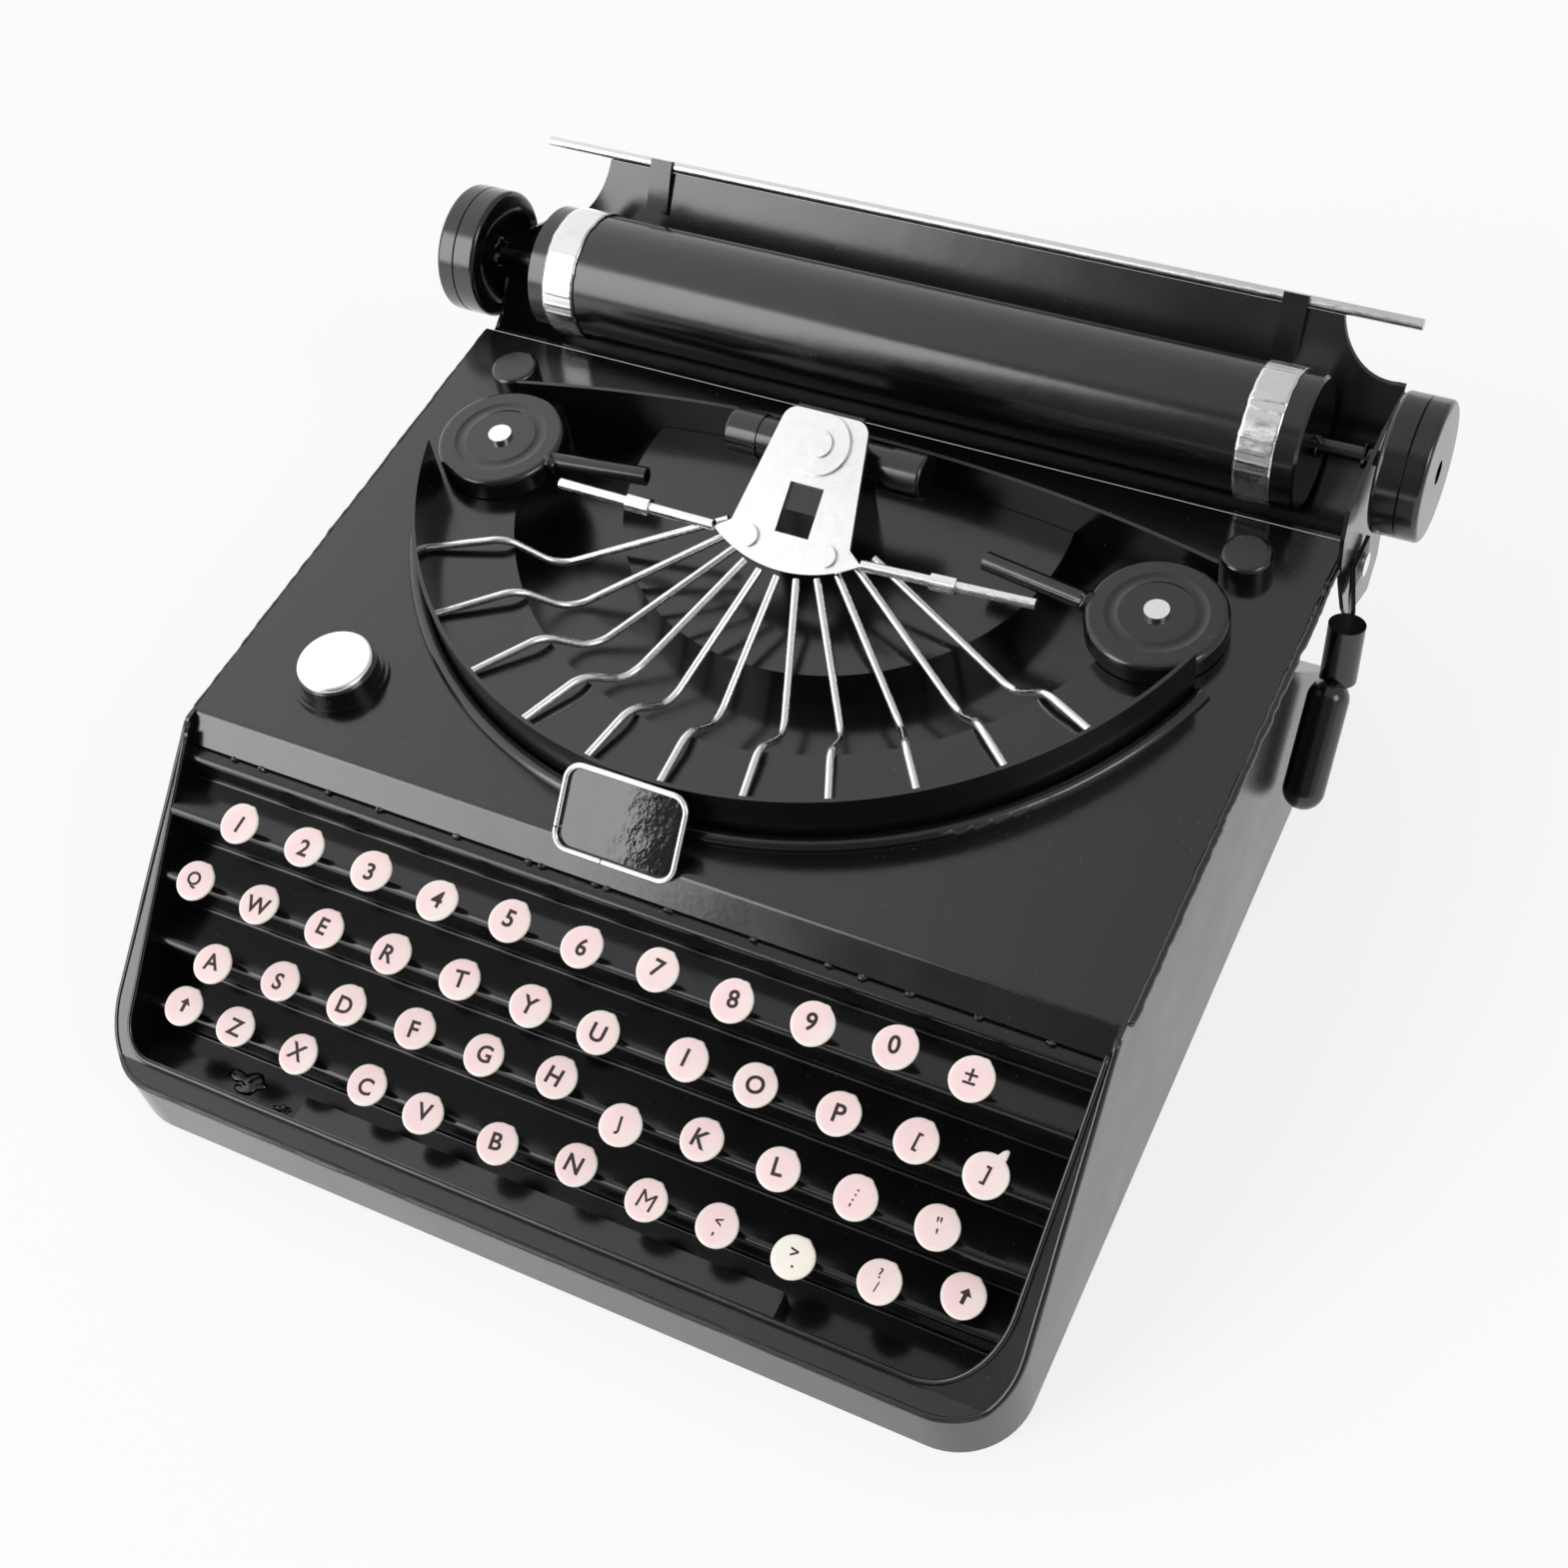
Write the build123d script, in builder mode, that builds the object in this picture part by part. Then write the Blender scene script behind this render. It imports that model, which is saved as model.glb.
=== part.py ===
"""Display typewriter in lacquered sheet metal.

Millimetres. The origin is the centre of the underside, +X is the typist's right, +Y the back, +Z up.
"""
import os
from math import cos, radians, sin, sqrt, tan

from build123d import *

os.makedirs("parts", exist_ok=True)

# Sheet metal and fits
sheet = 0.8
fit_gap = 0.1
running_gap = 0.06
moving_gap = 0.35

# Housing
base_depth = 187.0
deck_height = 55.5
deck_front = -34.0
bevel_drop = 4.6
skirt_height = 14.0
corner_radius = 14.0
rim_top_y = -36.3
rim_foot_y = -88.9
rear_cut_y = 46.0
rim_lip = 0.5
cover_fold = 2.0

# Key well and stepped panel
well_side_room = 4.3
left_well_radius = 7.0
right_well_radius = 15.0
first_tread_depth = 10.0
first_tread_drop = 9.5
floor_height = 8.4
row_count = 4
row_edge_y = -51.5
row_depth = 9.0
panel_fold = 1.3
stair_tilt = 8.5

# Keys
key_radius = 4.0
key_thickness = 0.8
key_tilt = 15.0
key_pitch = 15.05
key_side_room = 12.725
key_row_shift = -0.2
key_setback = 1.0
key_lift = 3.0
key_stem_radius = 1.1
keys_in_row = (11, 12, 11, 12)
nib_width = 1.6
nib_reach = 0.7

# Hand-set keys: (row, place in the row) and how far the disc sits sideways and up its slope
key_nudges = {
    (0, 3): (0.0, -1.0),
    (0, 6): (0.0, 0.7),
    (0, 8): (0.0, 1.0),
    (0, 9): (0.0, 2.0),
    (0, 10): (-0.9, 1.3),
    (1, 0): (0.0, -0.8),
    (1, 1): (0.0, -0.8),
    (1, 2): (0.0, -0.8),
    (1, 3): (0.0, -0.8),
    (1, 4): (0.0, -0.8),
    (1, 5): (0.0, -0.8),
    (1, 6): (-0.8, -1.0),
    (1, 7): (1.6, 0.0),
    (1, 9): (0.7, 0.4),
    (1, 10): (0.0, 0.7),
    (1, 11): (-1.9, -0.7),
    (2, 0): (0.0, -2.4),
    (2, 1): (0.0, -0.8),
    (2, 2): (0.0, -0.5),
    (2, 5): (0.0, 1.0),
    (2, 6): (0.0, -2.8),
    (2, 9): (-0.4, 0.2),
    (2, 10): (-0.4, 0.5),
    (3, 0): (1.6, 0.0),
    (3, 1): (-1.0, 0.0),
    (3, 2): (-1.0, -0.4),
    (3, 3): (0.0, -1.0),
    (3, 4): (-2.0, -2.0),
    (3, 5): (-0.8, -2.0),
    (3, 6): (0.0, -0.3),
    (3, 7): (0.0, -1.5),
    (3, 8): (-1.0, -1.0),
    (3, 9): (-1.1, -1.2),
    (3, 10): (-0.4, 0.4),
    (3, 11): (-1.1, 3.4),
}

# Space bar
space_bar_width = 102.5
space_bar_depth = 5.2
space_bar_shift = -0.8
space_bar_y = -84.6
space_bar_rise = 3.6

# Type basket
basket_y = 61.5
rim_radius = 85.4
rim_rise = 10.5
rim_start = -163.0
rim_end = -17.6
bead_radius = 1.6
opening_radius = 67.5
pan_depth = 12.5
drum_radius = 46.0
drum_drop = 3.5
rear_arc_radius = 330.0
rear_arc_y = 70.5
rear_wall_inset = 3.8
rear_wall_rise = 5.0

# Type bars
bar_count = 11
bar_radius = 0.8
bar_fan_y = 48.0
bar_fan_step = 13.45
bar_inner_reach = 17.0
bar_inner_rise = 5.1
bar_hump_run = 16.5
bar_hump_rise = 2.4
bar_dip_run = 25.5
bar_dip_drop = 5.9
bar_bend = 6.5

# Hand-bent bars: how far each one swings to the right at its dip, in degrees, and the hump's share of it
bar_swings = (0.0, 0.0, 0.0, 0.0, 0.0, 0.0, 3.2, 3.3, 3.3, 2.5, 1.0)
bar_hump_share = 0.4

# Type guide
guide_pitch = 31.0
guide_y = 36.3
guide_rise = 8.1
guide_top_half = 8.6
guide_top_reach = 26.5
guide_neck_half = 12.6
guide_neck_reach = 2.3
guide_tip_half = 15.7
guide_sag = 4.9
guide_corner = 3.0
slot_width = 7.1
slot_length = 10.0
slot_shift = 0.3
slot_reach = 7.2
boss_reach = 20.3
boss_radius = 6.1
boss_rise = 0.7
boss_pin_radius = 2.7
boss_pin_rise = 1.3
guide_rivet_half = 8.3
guide_rivet_radius = 2.2
guide_rivet_rise = 0.7
arm_radius = 1.1
arm_rise = 8.5
arm_end_half = 50.2
arm_collar_half = 32.2
arm_collar_radius = 1.7
arm_collar_length = 5.0
left_arm_back_step = -0.1
right_arm_back_step = 2.0
roller_y = 58.4
roller_rise = 11.5
roller_radius = 4.2
roller_band_radius = 4.5
roller_half = 21.0
roller_shift = -1.3
roller_band_length = 7.0
post_half = 7.0
post_front = 42.5
post_back = 60.0

# Ribbon spools
left_spool_x = -71.6
right_spool_x = 70.2
spool_y = 46.8
spool_radius = 13.4
spool_height = 4.9
spool_round = 1.2
spool_ring_radius = 8.4
spool_ring_curve = 4.0
spool_ring_depth = 0.2
spool_hub_radius = 4.0
pivot_radius = 1.5
pivot_head_radius = 2.4
pivot_head_rise = 0.8
tube_radius = 1.9
tube_bore = 1.3
tube_rise = 3.1
left_tube_length = 20.5
left_tube_root = -8.0
left_tube_turn = 7.0
right_tube_length = 22.0
right_tube_root = 184.4
right_tube_turn = 171.3

# Deck fittings
stud_half = 80.3
stud_y = 66.85
stud_radius = 5.0
stud_height = 4.1
stud_round = 1.0
button_x = -71.4
button_y = -16.9
button_radius = 7.6
button_thickness = 1.3
button_round = 0.8
button_body_radius = 7.9
button_body_rise = 3.9
button_collar_radius = 9.4
button_collar_rise = 1.8
button_step = 0.8
nameplate_x = -0.6
nameplate_width = 24.3
nameplate_length = 15.7
nameplate_overlap = 2.1
nameplate_corner = 3.0
frame_wire_radius = 0.55
frame_joint = 0.3
frame_joint_share = 0.42
frame_joint_rise = 3.6

# Carriage
carriage_shift = 1.2
carriage_side_room = 0.7
platen_y = 91.7
platen_rise = 10.0
platen_radius = 13.0
platen_wall = 1.0
platen_side_room = 11.4
platen_round = 1.2
trough_gap = 2.5
trough_lip_angle = -146.0
trough_back_angle = -35.0
table_top_rise = 19.3
left_shoulder_rise = 6.5
left_notch_width = 12.1
left_notch_rise = 4.4
right_shoulder_rise = 10.5
right_notch_width = 14.5
right_notch_rise = 2.9
notch_bend_share = 0.25
rest_rod_radius = 1.15
rest_rod_left_overhang = 2.9
rest_rod_right_overhang = 0.5
left_clip_inset = 25.6
right_clip_inset = 24.0
clip_width = 5.0
clip_thickness = 0.7
clip_length = 9.0
ring_width = 7.2
ring_inset = 4.4
ring_thickness = 0.4
cap_thickness = 1.6
shaft_radius = 1.5
knob_radius = 13.5
knob_length = 9.3
left_knob_gap = 1.5
right_knob_gap = 2.8
knob_round = 1.0
knob_seam_share = 0.45
knob_seam_half = 0.2
knob_seam_depth = 0.3
knob_dish = 2.3
knob_dish_floor = 5.6
knob_dish_radius = 10.4
knob_hole_radius = 2.3
knob_hole_depth = 3.0

# Carriage end plates
plate_shoulder_round = 1.4
plate_neck = 3.3
left_plate_angle = -137.0
left_plate_foot = 8.5

# Front outline of the right end plate, from its top down to its foot: (y, rise over the deck)
right_plate_front = (
    (74.8, 12.5),
    (72.4, 7.5),
    (72.0, 0.5),
    (73.2, -5.5),
    (76.8, -16.5),
    (80.0, -22.5),
    (94.5, -29.5),
    (100.0, -25.0),
)

# Return lever
lever_y = 83.0
lever_drop = 9.5
lever_eye_radius = 4.2
lever_strip_width = 7.0
lever_elbow_y = 63.1
lever_elbow_drop = 8.6
lever_sleeve_y = 60.9
lever_sleeve_drop = 17.3
lever_sleeve_gap = 4.9
lever_sleeve_radius = 3.5
lever_grip_top_y = 56.8
lever_grip_top_drop = 19.0
lever_grip_y = 45.0
lever_grip_drop = 32.6
lever_grip_gap = 4.4
lever_grip_radius = 4.0

# Values that follow from the sizes above
half_width = key_side_room + key_pitch * (max(keys_in_row) - 1) / 2
well_front_half = half_width - well_side_room
carriage_half = half_width - carriage_side_room
carriage_left = carriage_shift - carriage_half
carriage_right = carriage_shift + carriage_half
platen_half = carriage_half - platen_side_room
left_clip_x = carriage_left + left_clip_inset
right_clip_x = carriage_right - right_clip_inset
knob_inner_left = carriage_left - left_knob_gap
knob_inner_right = carriage_right + right_knob_gap
lever_sleeve_x = carriage_right + lever_sleeve_gap
lever_grip_x = carriage_right + lever_grip_gap
base_front = -base_depth / 2
base_back = base_depth / 2
deck_under = deck_height - sheet
rim_pitch = (deck_height - skirt_height) / (rim_top_y - rim_foot_y)
flange_drop = sheet * sqrt(1 + rim_pitch**2)
flange_shift = (flange_drop - sheet) / rim_pitch
wall_front = base_front + corner_radius
wall_top_y = rim_top_y + flange_shift
skirt_under_y = rim_foot_y + flange_shift
skirt_under = skirt_height - sheet
diagonal = sheet / sqrt(2)
bevel_y = deck_front - bevel_drop
bevel_height = deck_height - bevel_drop
inner_half = half_width - sheet - fit_gap
cover_bend_y = deck_front + sheet * tan(radians(22.5))
well_back = bevel_y - fit_gap
base_plate_back = base_back - 2 * sheet
trough_inner = platen_radius + trough_gap
trough_outer = trough_inner + sheet
deck_back = platen_y - sqrt(trough_outer**2 - platen_rise**2) - fit_gap
rear_arc_centre = rear_arc_y - rear_arc_radius
ledge_height = bevel_height - diagonal - fit_gap
ledge_back = bevel_y + sheet
first_tread_height = deck_height - first_tread_drop
row_rise = (first_tread_height - floor_height) / row_count
space_bar_height = floor_height + space_bar_rise
rim_top = deck_height + rim_rise
pan_floor = deck_height - pan_depth
drum_top = deck_height - drum_drop
rear_wall_top = deck_height + rear_wall_rise
guide_height = deck_height + guide_rise
arm_height = deck_height + arm_rise
roller_height = deck_height + roller_rise
tube_height = deck_height + tube_rise
platen_height = deck_height + platen_rise
table_top = deck_height + table_top_rise
left_shoulder = deck_height + left_shoulder_rise
right_shoulder = deck_height + right_shoulder_rise
lever_height = deck_height - lever_drop
lever_elbow_height = deck_height - lever_elbow_drop
lever_sleeve_height = deck_height - lever_sleeve_drop
lever_grip_top_height = deck_height - lever_grip_top_drop
lever_grip_height = deck_height - lever_grip_drop
floor_front = rim_foot_y + sheet + fit_gap
spool_top = deck_height + spool_height
rear_wall_half = stud_half - rear_wall_inset
tall = 80.0
stand_on = (Align.CENTER, Align.CENTER, Align.MIN)
wide = 2 * half_width

platen_plane = Plane(origin=(0, platen_y, platen_height), x_dir=(1, 0, 0), z_dir=(0, -1, 0))
platen_axis = Axis((0, platen_y, platen_height), (1, 0, 0))
guide_normal = (0, -sin(radians(guide_pitch)), cos(radians(guide_pitch)))
guide_plane = Plane(origin=(0, guide_y, guide_height), x_dir=(1, 0, 0), z_dir=guide_normal)
nameplate_normal = (0, -sin(radians(45)), cos(radians(45)))
nameplate_plane = Plane(origin=(0, deck_front, deck_height), x_dir=(1, 0, 0), z_dir=nameplate_normal)


def keep(builder, node_name):
    """Label one finished piece and write it to its own file."""
    builder.part.label = node_name
    export_step(builder.part, f"parts/{node_name}.step")


def rim_height(y):
    """Height of the sloping rim's upper side at a distance y from the centre."""
    return skirt_height + rim_pitch * (y - rim_foot_y)


def well_points(inset, back):
    """Plan of the key well's wall, moved inwards by inset, as an open line that starts and ends at back."""
    return [
        (-inner_half + inset, back),
        (-inner_half + inset, well_back),
        (-well_front_half + inset, rim_foot_y + inset),
        (well_front_half - inset, rim_foot_y + inset),
        (inner_half - inset, well_back),
        (inner_half - inset, back),
    ]


def tread_edge(row):
    """Front edge of a row's tread."""
    return row_edge_y - row * row_depth


def tread_height(row):
    """Upper side of a row's tread."""
    return first_tread_height - row * row_rise


def key_x(row, place):
    """Sideways place of one key."""
    middle = (keys_in_row[row] - 1) / 2
    nudge = key_nudges.get((row, place), (0.0, 0.0))
    return key_row_shift + key_pitch * (place - middle) + nudge[0]


def key_plane(row, place, drop, slide):
    """Plane of a key disc: drop below its upper side, moved up its own slope by slide."""
    tilt = radians(key_tilt)
    y = tread_edge(row) + key_setback + slide * cos(tilt) + drop * sin(tilt)
    z = tread_height(row) + key_lift + slide * sin(tilt) - drop * cos(tilt)
    return Plane(origin=(key_x(row, place), y, z), x_dir=(1, 0, 0), z_dir=(0, -sin(tilt), cos(tilt)))


def polar(radius, angle):
    """Point of the carriage profile at an angle about the platen's axis."""
    return (platen_y + radius * cos(radians(angle)), platen_height + radius * sin(radians(angle)))


# Upper and under line of the stepped key panel, from under the bevel down to the front floor; its square steps
# lean back, so that each tread falls away from its front edge
stair_turn = radians(stair_tilt)
riser_length = (row_rise * cos(stair_turn) + row_depth * sin(stair_turn)) / cos(2 * stair_turn)
ledge_end = row_edge_y + first_tread_depth
first_tread_back = first_tread_height - first_tread_depth * tan(stair_turn)
fold_shift = sheet * (cos(stair_turn) - sin(stair_turn))
fold_reach = sheet * (1 + sin(stair_turn)) / cos(stair_turn)
stair_top = [
    (ledge_back, ledge_height),
    (ledge_end, ledge_height),
    (ledge_end, first_tread_back),
]
stair_under = [
    (ledge_back, ledge_height - sheet),
    (ledge_end + sheet, ledge_height - sheet),
    (ledge_end + sheet, first_tread_back - fold_reach),
]
for row in range(row_count):
    step_fold = (tread_edge(row), tread_height(row))
    step_corner = (step_fold[0] + riser_length * sin(stair_turn), step_fold[1] - riser_length * cos(stair_turn))
    stair_top.append(step_fold)
    stair_under.append((step_fold[0] + fold_shift, step_fold[1] - fold_shift))
    if row < row_count - 1:
        stair_top.append(step_corner)
        stair_under.append((step_corner[0] + fold_shift, step_corner[1] - fold_shift))
last_corner_y = tread_edge(row_count - 1) + row_rise * tan(stair_turn)
stair_top.append((last_corner_y, floor_height))
stair_top.append((floor_front, floor_height))
stair_under.append((last_corner_y + fold_reach, floor_height - sheet))
stair_under.append((floor_front, floor_height - sheet))
upper_folds = (panel_fold, panel_fold - sheet) * (row_count + 1)
under_folds = (panel_fold - sheet, panel_fold) * (row_count + 1)

# Base plate
with BuildPart() as base_plate:
    with BuildSketch():
        with BuildLine():
            FilletPolyline(
                (-inner_half, base_plate_back),
                (-inner_half, base_front + sheet + fit_gap),
                (inner_half, base_front + sheet + fit_gap),
                (inner_half, base_plate_back),
                radius=corner_radius - sheet - fit_gap,
            )
            Line((-inner_half, base_plate_back), (inner_half, base_plate_back))
        make_face()
    extrude(amount=sheet)
keep(base_plate, "base_plate")

# Side panels
side_outline = [
    (wall_front, 0),
    (wall_front, rim_height(wall_front) - flange_drop),
    (wall_top_y, deck_under),
    (rear_cut_y, deck_under),
    (base_back, 0),
]
with BuildPart() as left_side_panel:
    with BuildSketch(Plane.YZ.offset(-half_width)):
        with BuildLine():
            Polyline(*side_outline, close=True)
        make_face()
    extrude(amount=sheet)
keep(left_side_panel, "left_side_panel")

with BuildPart() as right_side_panel:
    with BuildSketch(Plane.YZ.offset(half_width)):
        with BuildLine():
            Polyline(*side_outline, close=True)
        make_face()
    extrude(amount=-sheet)
keep(right_side_panel, "right_side_panel")

# Front skirt, bent round both front corners
corner_left = (-half_width + corner_radius, wall_front)
corner_right = (half_width - corner_radius, wall_front)
inner_corner_radius = corner_radius - sheet
with BuildPart() as front_skirt:
    with BuildSketch():
        with BuildLine():
            CenterArc(corner_left, corner_radius, 180, 90)
            Line((corner_left[0], base_front), (corner_right[0], base_front))
            CenterArc(corner_right, corner_radius, 270, 90)
            Line((half_width, wall_front), (half_width - sheet, wall_front))
            CenterArc(corner_right, inner_corner_radius, 270, 90)
            Line((corner_left[0], base_front + sheet), (corner_right[0], base_front + sheet))
            CenterArc(corner_left, inner_corner_radius, 180, 90)
            Line((-half_width, wall_front), (-half_width + sheet, wall_front))
        make_face()
    extrude(amount=tall)
    with BuildSketch(Plane.YZ):
        with BuildLine():
            Polyline(
                (base_front, 0),
                (base_front, skirt_under),
                (skirt_under_y, skirt_under),
                (wall_front, rim_height(wall_front) - flange_drop),
                (wall_front, 0),
                close=True,
            )
        make_face()
    extrude(amount=wide, both=True, mode=Mode.INTERSECT)
keep(front_skirt, "front_skirt")

# Sloping flange between the outer walls and the key well
with BuildPart() as rim_flange:
    with BuildSketch():
        with BuildLine():
            Line((-half_width, cover_bend_y), (-half_width, wall_front))
            CenterArc(corner_left, corner_radius, 180, 90)
            Line((corner_left[0], base_front), (corner_right[0], base_front))
            CenterArc(corner_right, corner_radius, 270, 90)
            Line((half_width, wall_front), (half_width, cover_bend_y))
            Line((half_width, cover_bend_y), (-half_width, cover_bend_y))
        make_face()
        with BuildLine():
            well_edge = FilletPolyline(
                *well_points(0, deck_front + 2 * sheet), radius=(0, left_well_radius, right_well_radius, 0)
            )
            Line(well_edge @ 0, well_edge @ 1)
        make_face(mode=Mode.SUBTRACT)
    extrude(amount=tall)
    with BuildSketch(Plane.YZ):
        with BuildLine():
            Polyline(
                (cover_bend_y, deck_height),
                (rim_top_y, deck_height),
                (rim_foot_y, skirt_height),
                (base_front, skirt_height),
                (base_front, skirt_under),
                (skirt_under_y, skirt_under),
                (wall_top_y, deck_under),
                (cover_bend_y, deck_under),
                close=True,
            )
        make_face()
    extrude(amount=wide, both=True, mode=Mode.INTERSECT)
keep(rim_flange, "rim_flange")

# Wall of the key well
with BuildPart() as key_well:
    with BuildSketch():
        with BuildLine():
            outer_edge = FilletPolyline(
                *well_points(0, well_back)[1:-1], radius=(left_well_radius, right_well_radius)
            )
            inner_edge = FilletPolyline(
                *well_points(sheet, well_back)[1:-1],
                radius=(left_well_radius - sheet, right_well_radius - sheet),
            )
            Line(outer_edge @ 0, inner_edge @ 0)
            Line(outer_edge @ 1, inner_edge @ 1)
        make_face()
    extrude(amount=tall)
    with BuildSketch(Plane.YZ):
        with BuildLine():
            Polyline(
                (well_back, floor_height - sheet),
                (well_back, rim_height(well_back) + rim_lip),
                (rim_foot_y, skirt_height + rim_lip),
                (base_front, skirt_height + rim_lip),
                (base_front, floor_height - sheet),
                close=True,
            )
        make_face()
    extrude(amount=wide, both=True, mode=Mode.INTERSECT)
keep(key_well, "key_well")

# Stepped key panel, one folded sheet
with BuildPart() as key_panel:
    with BuildSketch(Plane.YZ):
        with BuildLine():
            upper_line = FilletPolyline(*stair_top, radius=upper_folds)
            under_line = FilletPolyline(*stair_under, radius=under_folds)
            Line(upper_line @ 0, under_line @ 0)
            Line(upper_line @ 1, under_line @ 1)
        make_face()
    extrude(amount=wide, both=True)
    with BuildSketch():
        with BuildLine():
            panel_edge = FilletPolyline(
                *well_points(sheet + fit_gap, deck_front),
                radius=(0, left_well_radius - sheet, right_well_radius - sheet, 0),
            )
            Line(panel_edge @ 0, panel_edge @ 1)
        make_face()
    extrude(amount=tall, mode=Mode.INTERSECT)
keep(key_panel, "key_panel")

# Top cover with its front bevel and the half-round opening of the basket
cover_outline = [
    (deck_back, deck_height),
    (deck_front, deck_height),
    (bevel_y, bevel_height),
    (bevel_y + diagonal, bevel_height - diagonal),
    (cover_bend_y, deck_under),
    (deck_back, deck_under),
]
with BuildPart() as top_cover:
    with BuildSketch(Plane.YZ):
        with BuildLine():
            FilletPolyline(*cover_outline, radius=(0, cover_fold, 0, 0, cover_fold - sheet, 0), close=True)
        make_face()
    extrude(amount=half_width, both=True)
    with BuildSketch():
        with BuildLine():
            Polyline(
                (inner_half, cover_bend_y),
                (wide, cover_bend_y),
                (wide, base_front),
                (inner_half, base_front),
                close=True,
            )
        make_face()
        mirror(about=Plane.YZ)
    extrude(amount=tall, mode=Mode.SUBTRACT)
    with BuildSketch(Plane.XY.offset(deck_under)):
        with Locations((0, basket_y)):
            Circle(opening_radius)
        with Locations((0, rear_arc_centre)):
            Circle(rear_arc_radius + sheet + fit_gap, mode=Mode.INTERSECT)
        with Locations((left_spool_x, spool_y), (right_spool_x, spool_y)):
            Circle(pivot_radius)
    extrude(amount=sheet, mode=Mode.SUBTRACT)
keep(top_cover, "top_cover")

# Rear panel along the slanting back edges of the side panels, notched for the basket pan
rear_run = base_back - rear_cut_y
rear_step = sheet * sqrt(rear_run**2 + deck_under**2) / deck_under
rear_foot_height = sheet + fit_gap
rear_foot_y = base_back - rear_foot_height * rear_run / deck_under
with BuildPart() as rear_panel:
    with BuildSketch(Plane.YZ):
        with BuildLine():
            Polyline(
                (rear_cut_y, deck_under),
                (rear_cut_y - rear_step, deck_under),
                (rear_foot_y - rear_step, rear_foot_height),
                (rear_foot_y, rear_foot_height),
                close=True,
            )
        make_face()
    extrude(amount=inner_half, both=True)
    with BuildSketch(Plane.XY.offset(pan_floor - sheet - moving_gap)):
        with Locations((0, basket_y)):
            Circle(opening_radius + sheet + moving_gap)
    extrude(amount=tall, mode=Mode.SUBTRACT)
keep(rear_panel, "rear_panel")

# Key discs, a node for each row
row_names = ("number", "upper", "home", "lower")
for row, row_name in enumerate(row_names):
    with BuildPart() as key_tops:
        for place in range(keys_in_row[row]):
            slide = key_nudges.get((row, place), (0.0, 0.0))[1]
            with BuildSketch(key_plane(row, place, key_thickness, slide)):
                Circle(key_radius)
                with Locations((key_radius * sin(radians(30)), key_radius * cos(radians(30)))):
                    Rectangle(nib_width, 2 * nib_reach)
            extrude(amount=key_thickness)
    keep(key_tops, f"key_tops_{row_name}_row")

# Key stems, trimmed to the treads they stand on
with BuildPart() as key_stems:
    for row in range(row_count):
        for place in range(keys_in_row[row]):
            with BuildSketch(key_plane(row, place, key_thickness, 0.0)):
                Circle(key_stem_radius)
            extrude(amount=-2 * key_lift)
    with BuildSketch(Plane.YZ):
        with BuildLine():
            stair_line = FilletPolyline(*stair_top, radius=upper_folds)
            Polyline(stair_line @ 1, (floor_front, tall), (ledge_back, tall), stair_line @ 0)
        make_face()
    extrude(amount=wide, both=True, mode=Mode.INTERSECT)
keep(key_stems, "key_stems")

# Space bar, a strip folded down to the floor at both ends
with BuildPart() as space_bar:
    with BuildSketch(Plane.XZ.offset(-space_bar_y)):
        with Locations((space_bar_shift, (space_bar_height + floor_height) / 2)):
            Rectangle(space_bar_width, space_bar_height - floor_height)
        with Locations((space_bar_shift, (space_bar_height - sheet + floor_height) / 2)):
            Rectangle(
                space_bar_width - 2 * sheet, space_bar_height - sheet - floor_height, mode=Mode.SUBTRACT
            )
    extrude(amount=space_bar_depth / 2, both=True)
keep(space_bar, "space_bar")

# Rim wall of the type basket and the bead outside it
rim_start_rad = radians(rim_start)
rim_plane = Plane(
    origin=(0, basket_y, 0),
    x_dir=(cos(rim_start_rad), sin(rim_start_rad), 0),
    z_dir=(sin(rim_start_rad), -cos(rim_start_rad), 0),
)
basket_axis = Axis((0, basket_y, 0), (0, 0, 1))
with BuildPart() as basket_rim:
    with BuildSketch(rim_plane):
        with Locations((rim_radius, (deck_height + rim_top) / 2)):
            Rectangle(sheet, rim_top - deck_height)
    revolve(axis=basket_axis, revolution_arc=rim_end - rim_start)
keep(basket_rim, "basket_rim")

with BuildPart() as rim_bead:
    with BuildSketch(rim_plane):
        with BuildLine():
            bead_arc = CenterArc((rim_radius + sheet / 2 + bead_radius, deck_height), bead_radius, 0, 180)
            Line(bead_arc @ 0, bead_arc @ 1)
        make_face()
    revolve(axis=basket_axis, revolution_arc=rim_end - rim_start)
keep(rim_bead, "rim_bead")

# Basket pan under the deck opening
with BuildPart() as basket_pan:
    with BuildSketch(Plane.XY.offset(pan_floor - sheet)):
        with Locations((0, basket_y)):
            Circle(opening_radius + sheet)
        with Locations((0, rear_arc_centre)):
            Circle(rear_arc_radius + sheet, mode=Mode.INTERSECT)
    extrude(amount=deck_under - pan_floor + sheet)
    with BuildSketch(Plane.XY.offset(pan_floor)):
        with Locations((0, basket_y)):
            Circle(opening_radius)
    extrude(amount=tall, mode=Mode.SUBTRACT)
keep(basket_pan, "basket_pan")

# Half-round drum in the pan
with BuildPart() as inner_drum:
    with BuildSketch(Plane.XY.offset(pan_floor)):
        with Locations((0, basket_y)):
            Circle(drum_radius)
        with Locations((0, rear_arc_centre)):
            Circle(rear_arc_radius - fit_gap, mode=Mode.INTERSECT)
    extrude(amount=drum_top - pan_floor)
    with BuildSketch(Plane.XY.offset(pan_floor)):
        with Locations((0, basket_y)):
            Circle(drum_radius - sheet)
        with Locations((0, rear_arc_centre)):
            Circle(rear_arc_radius - fit_gap - sheet, mode=Mode.INTERSECT)
    extrude(amount=drum_top - sheet - pan_floor, mode=Mode.SUBTRACT)
keep(inner_drum, "inner_drum")

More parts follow.
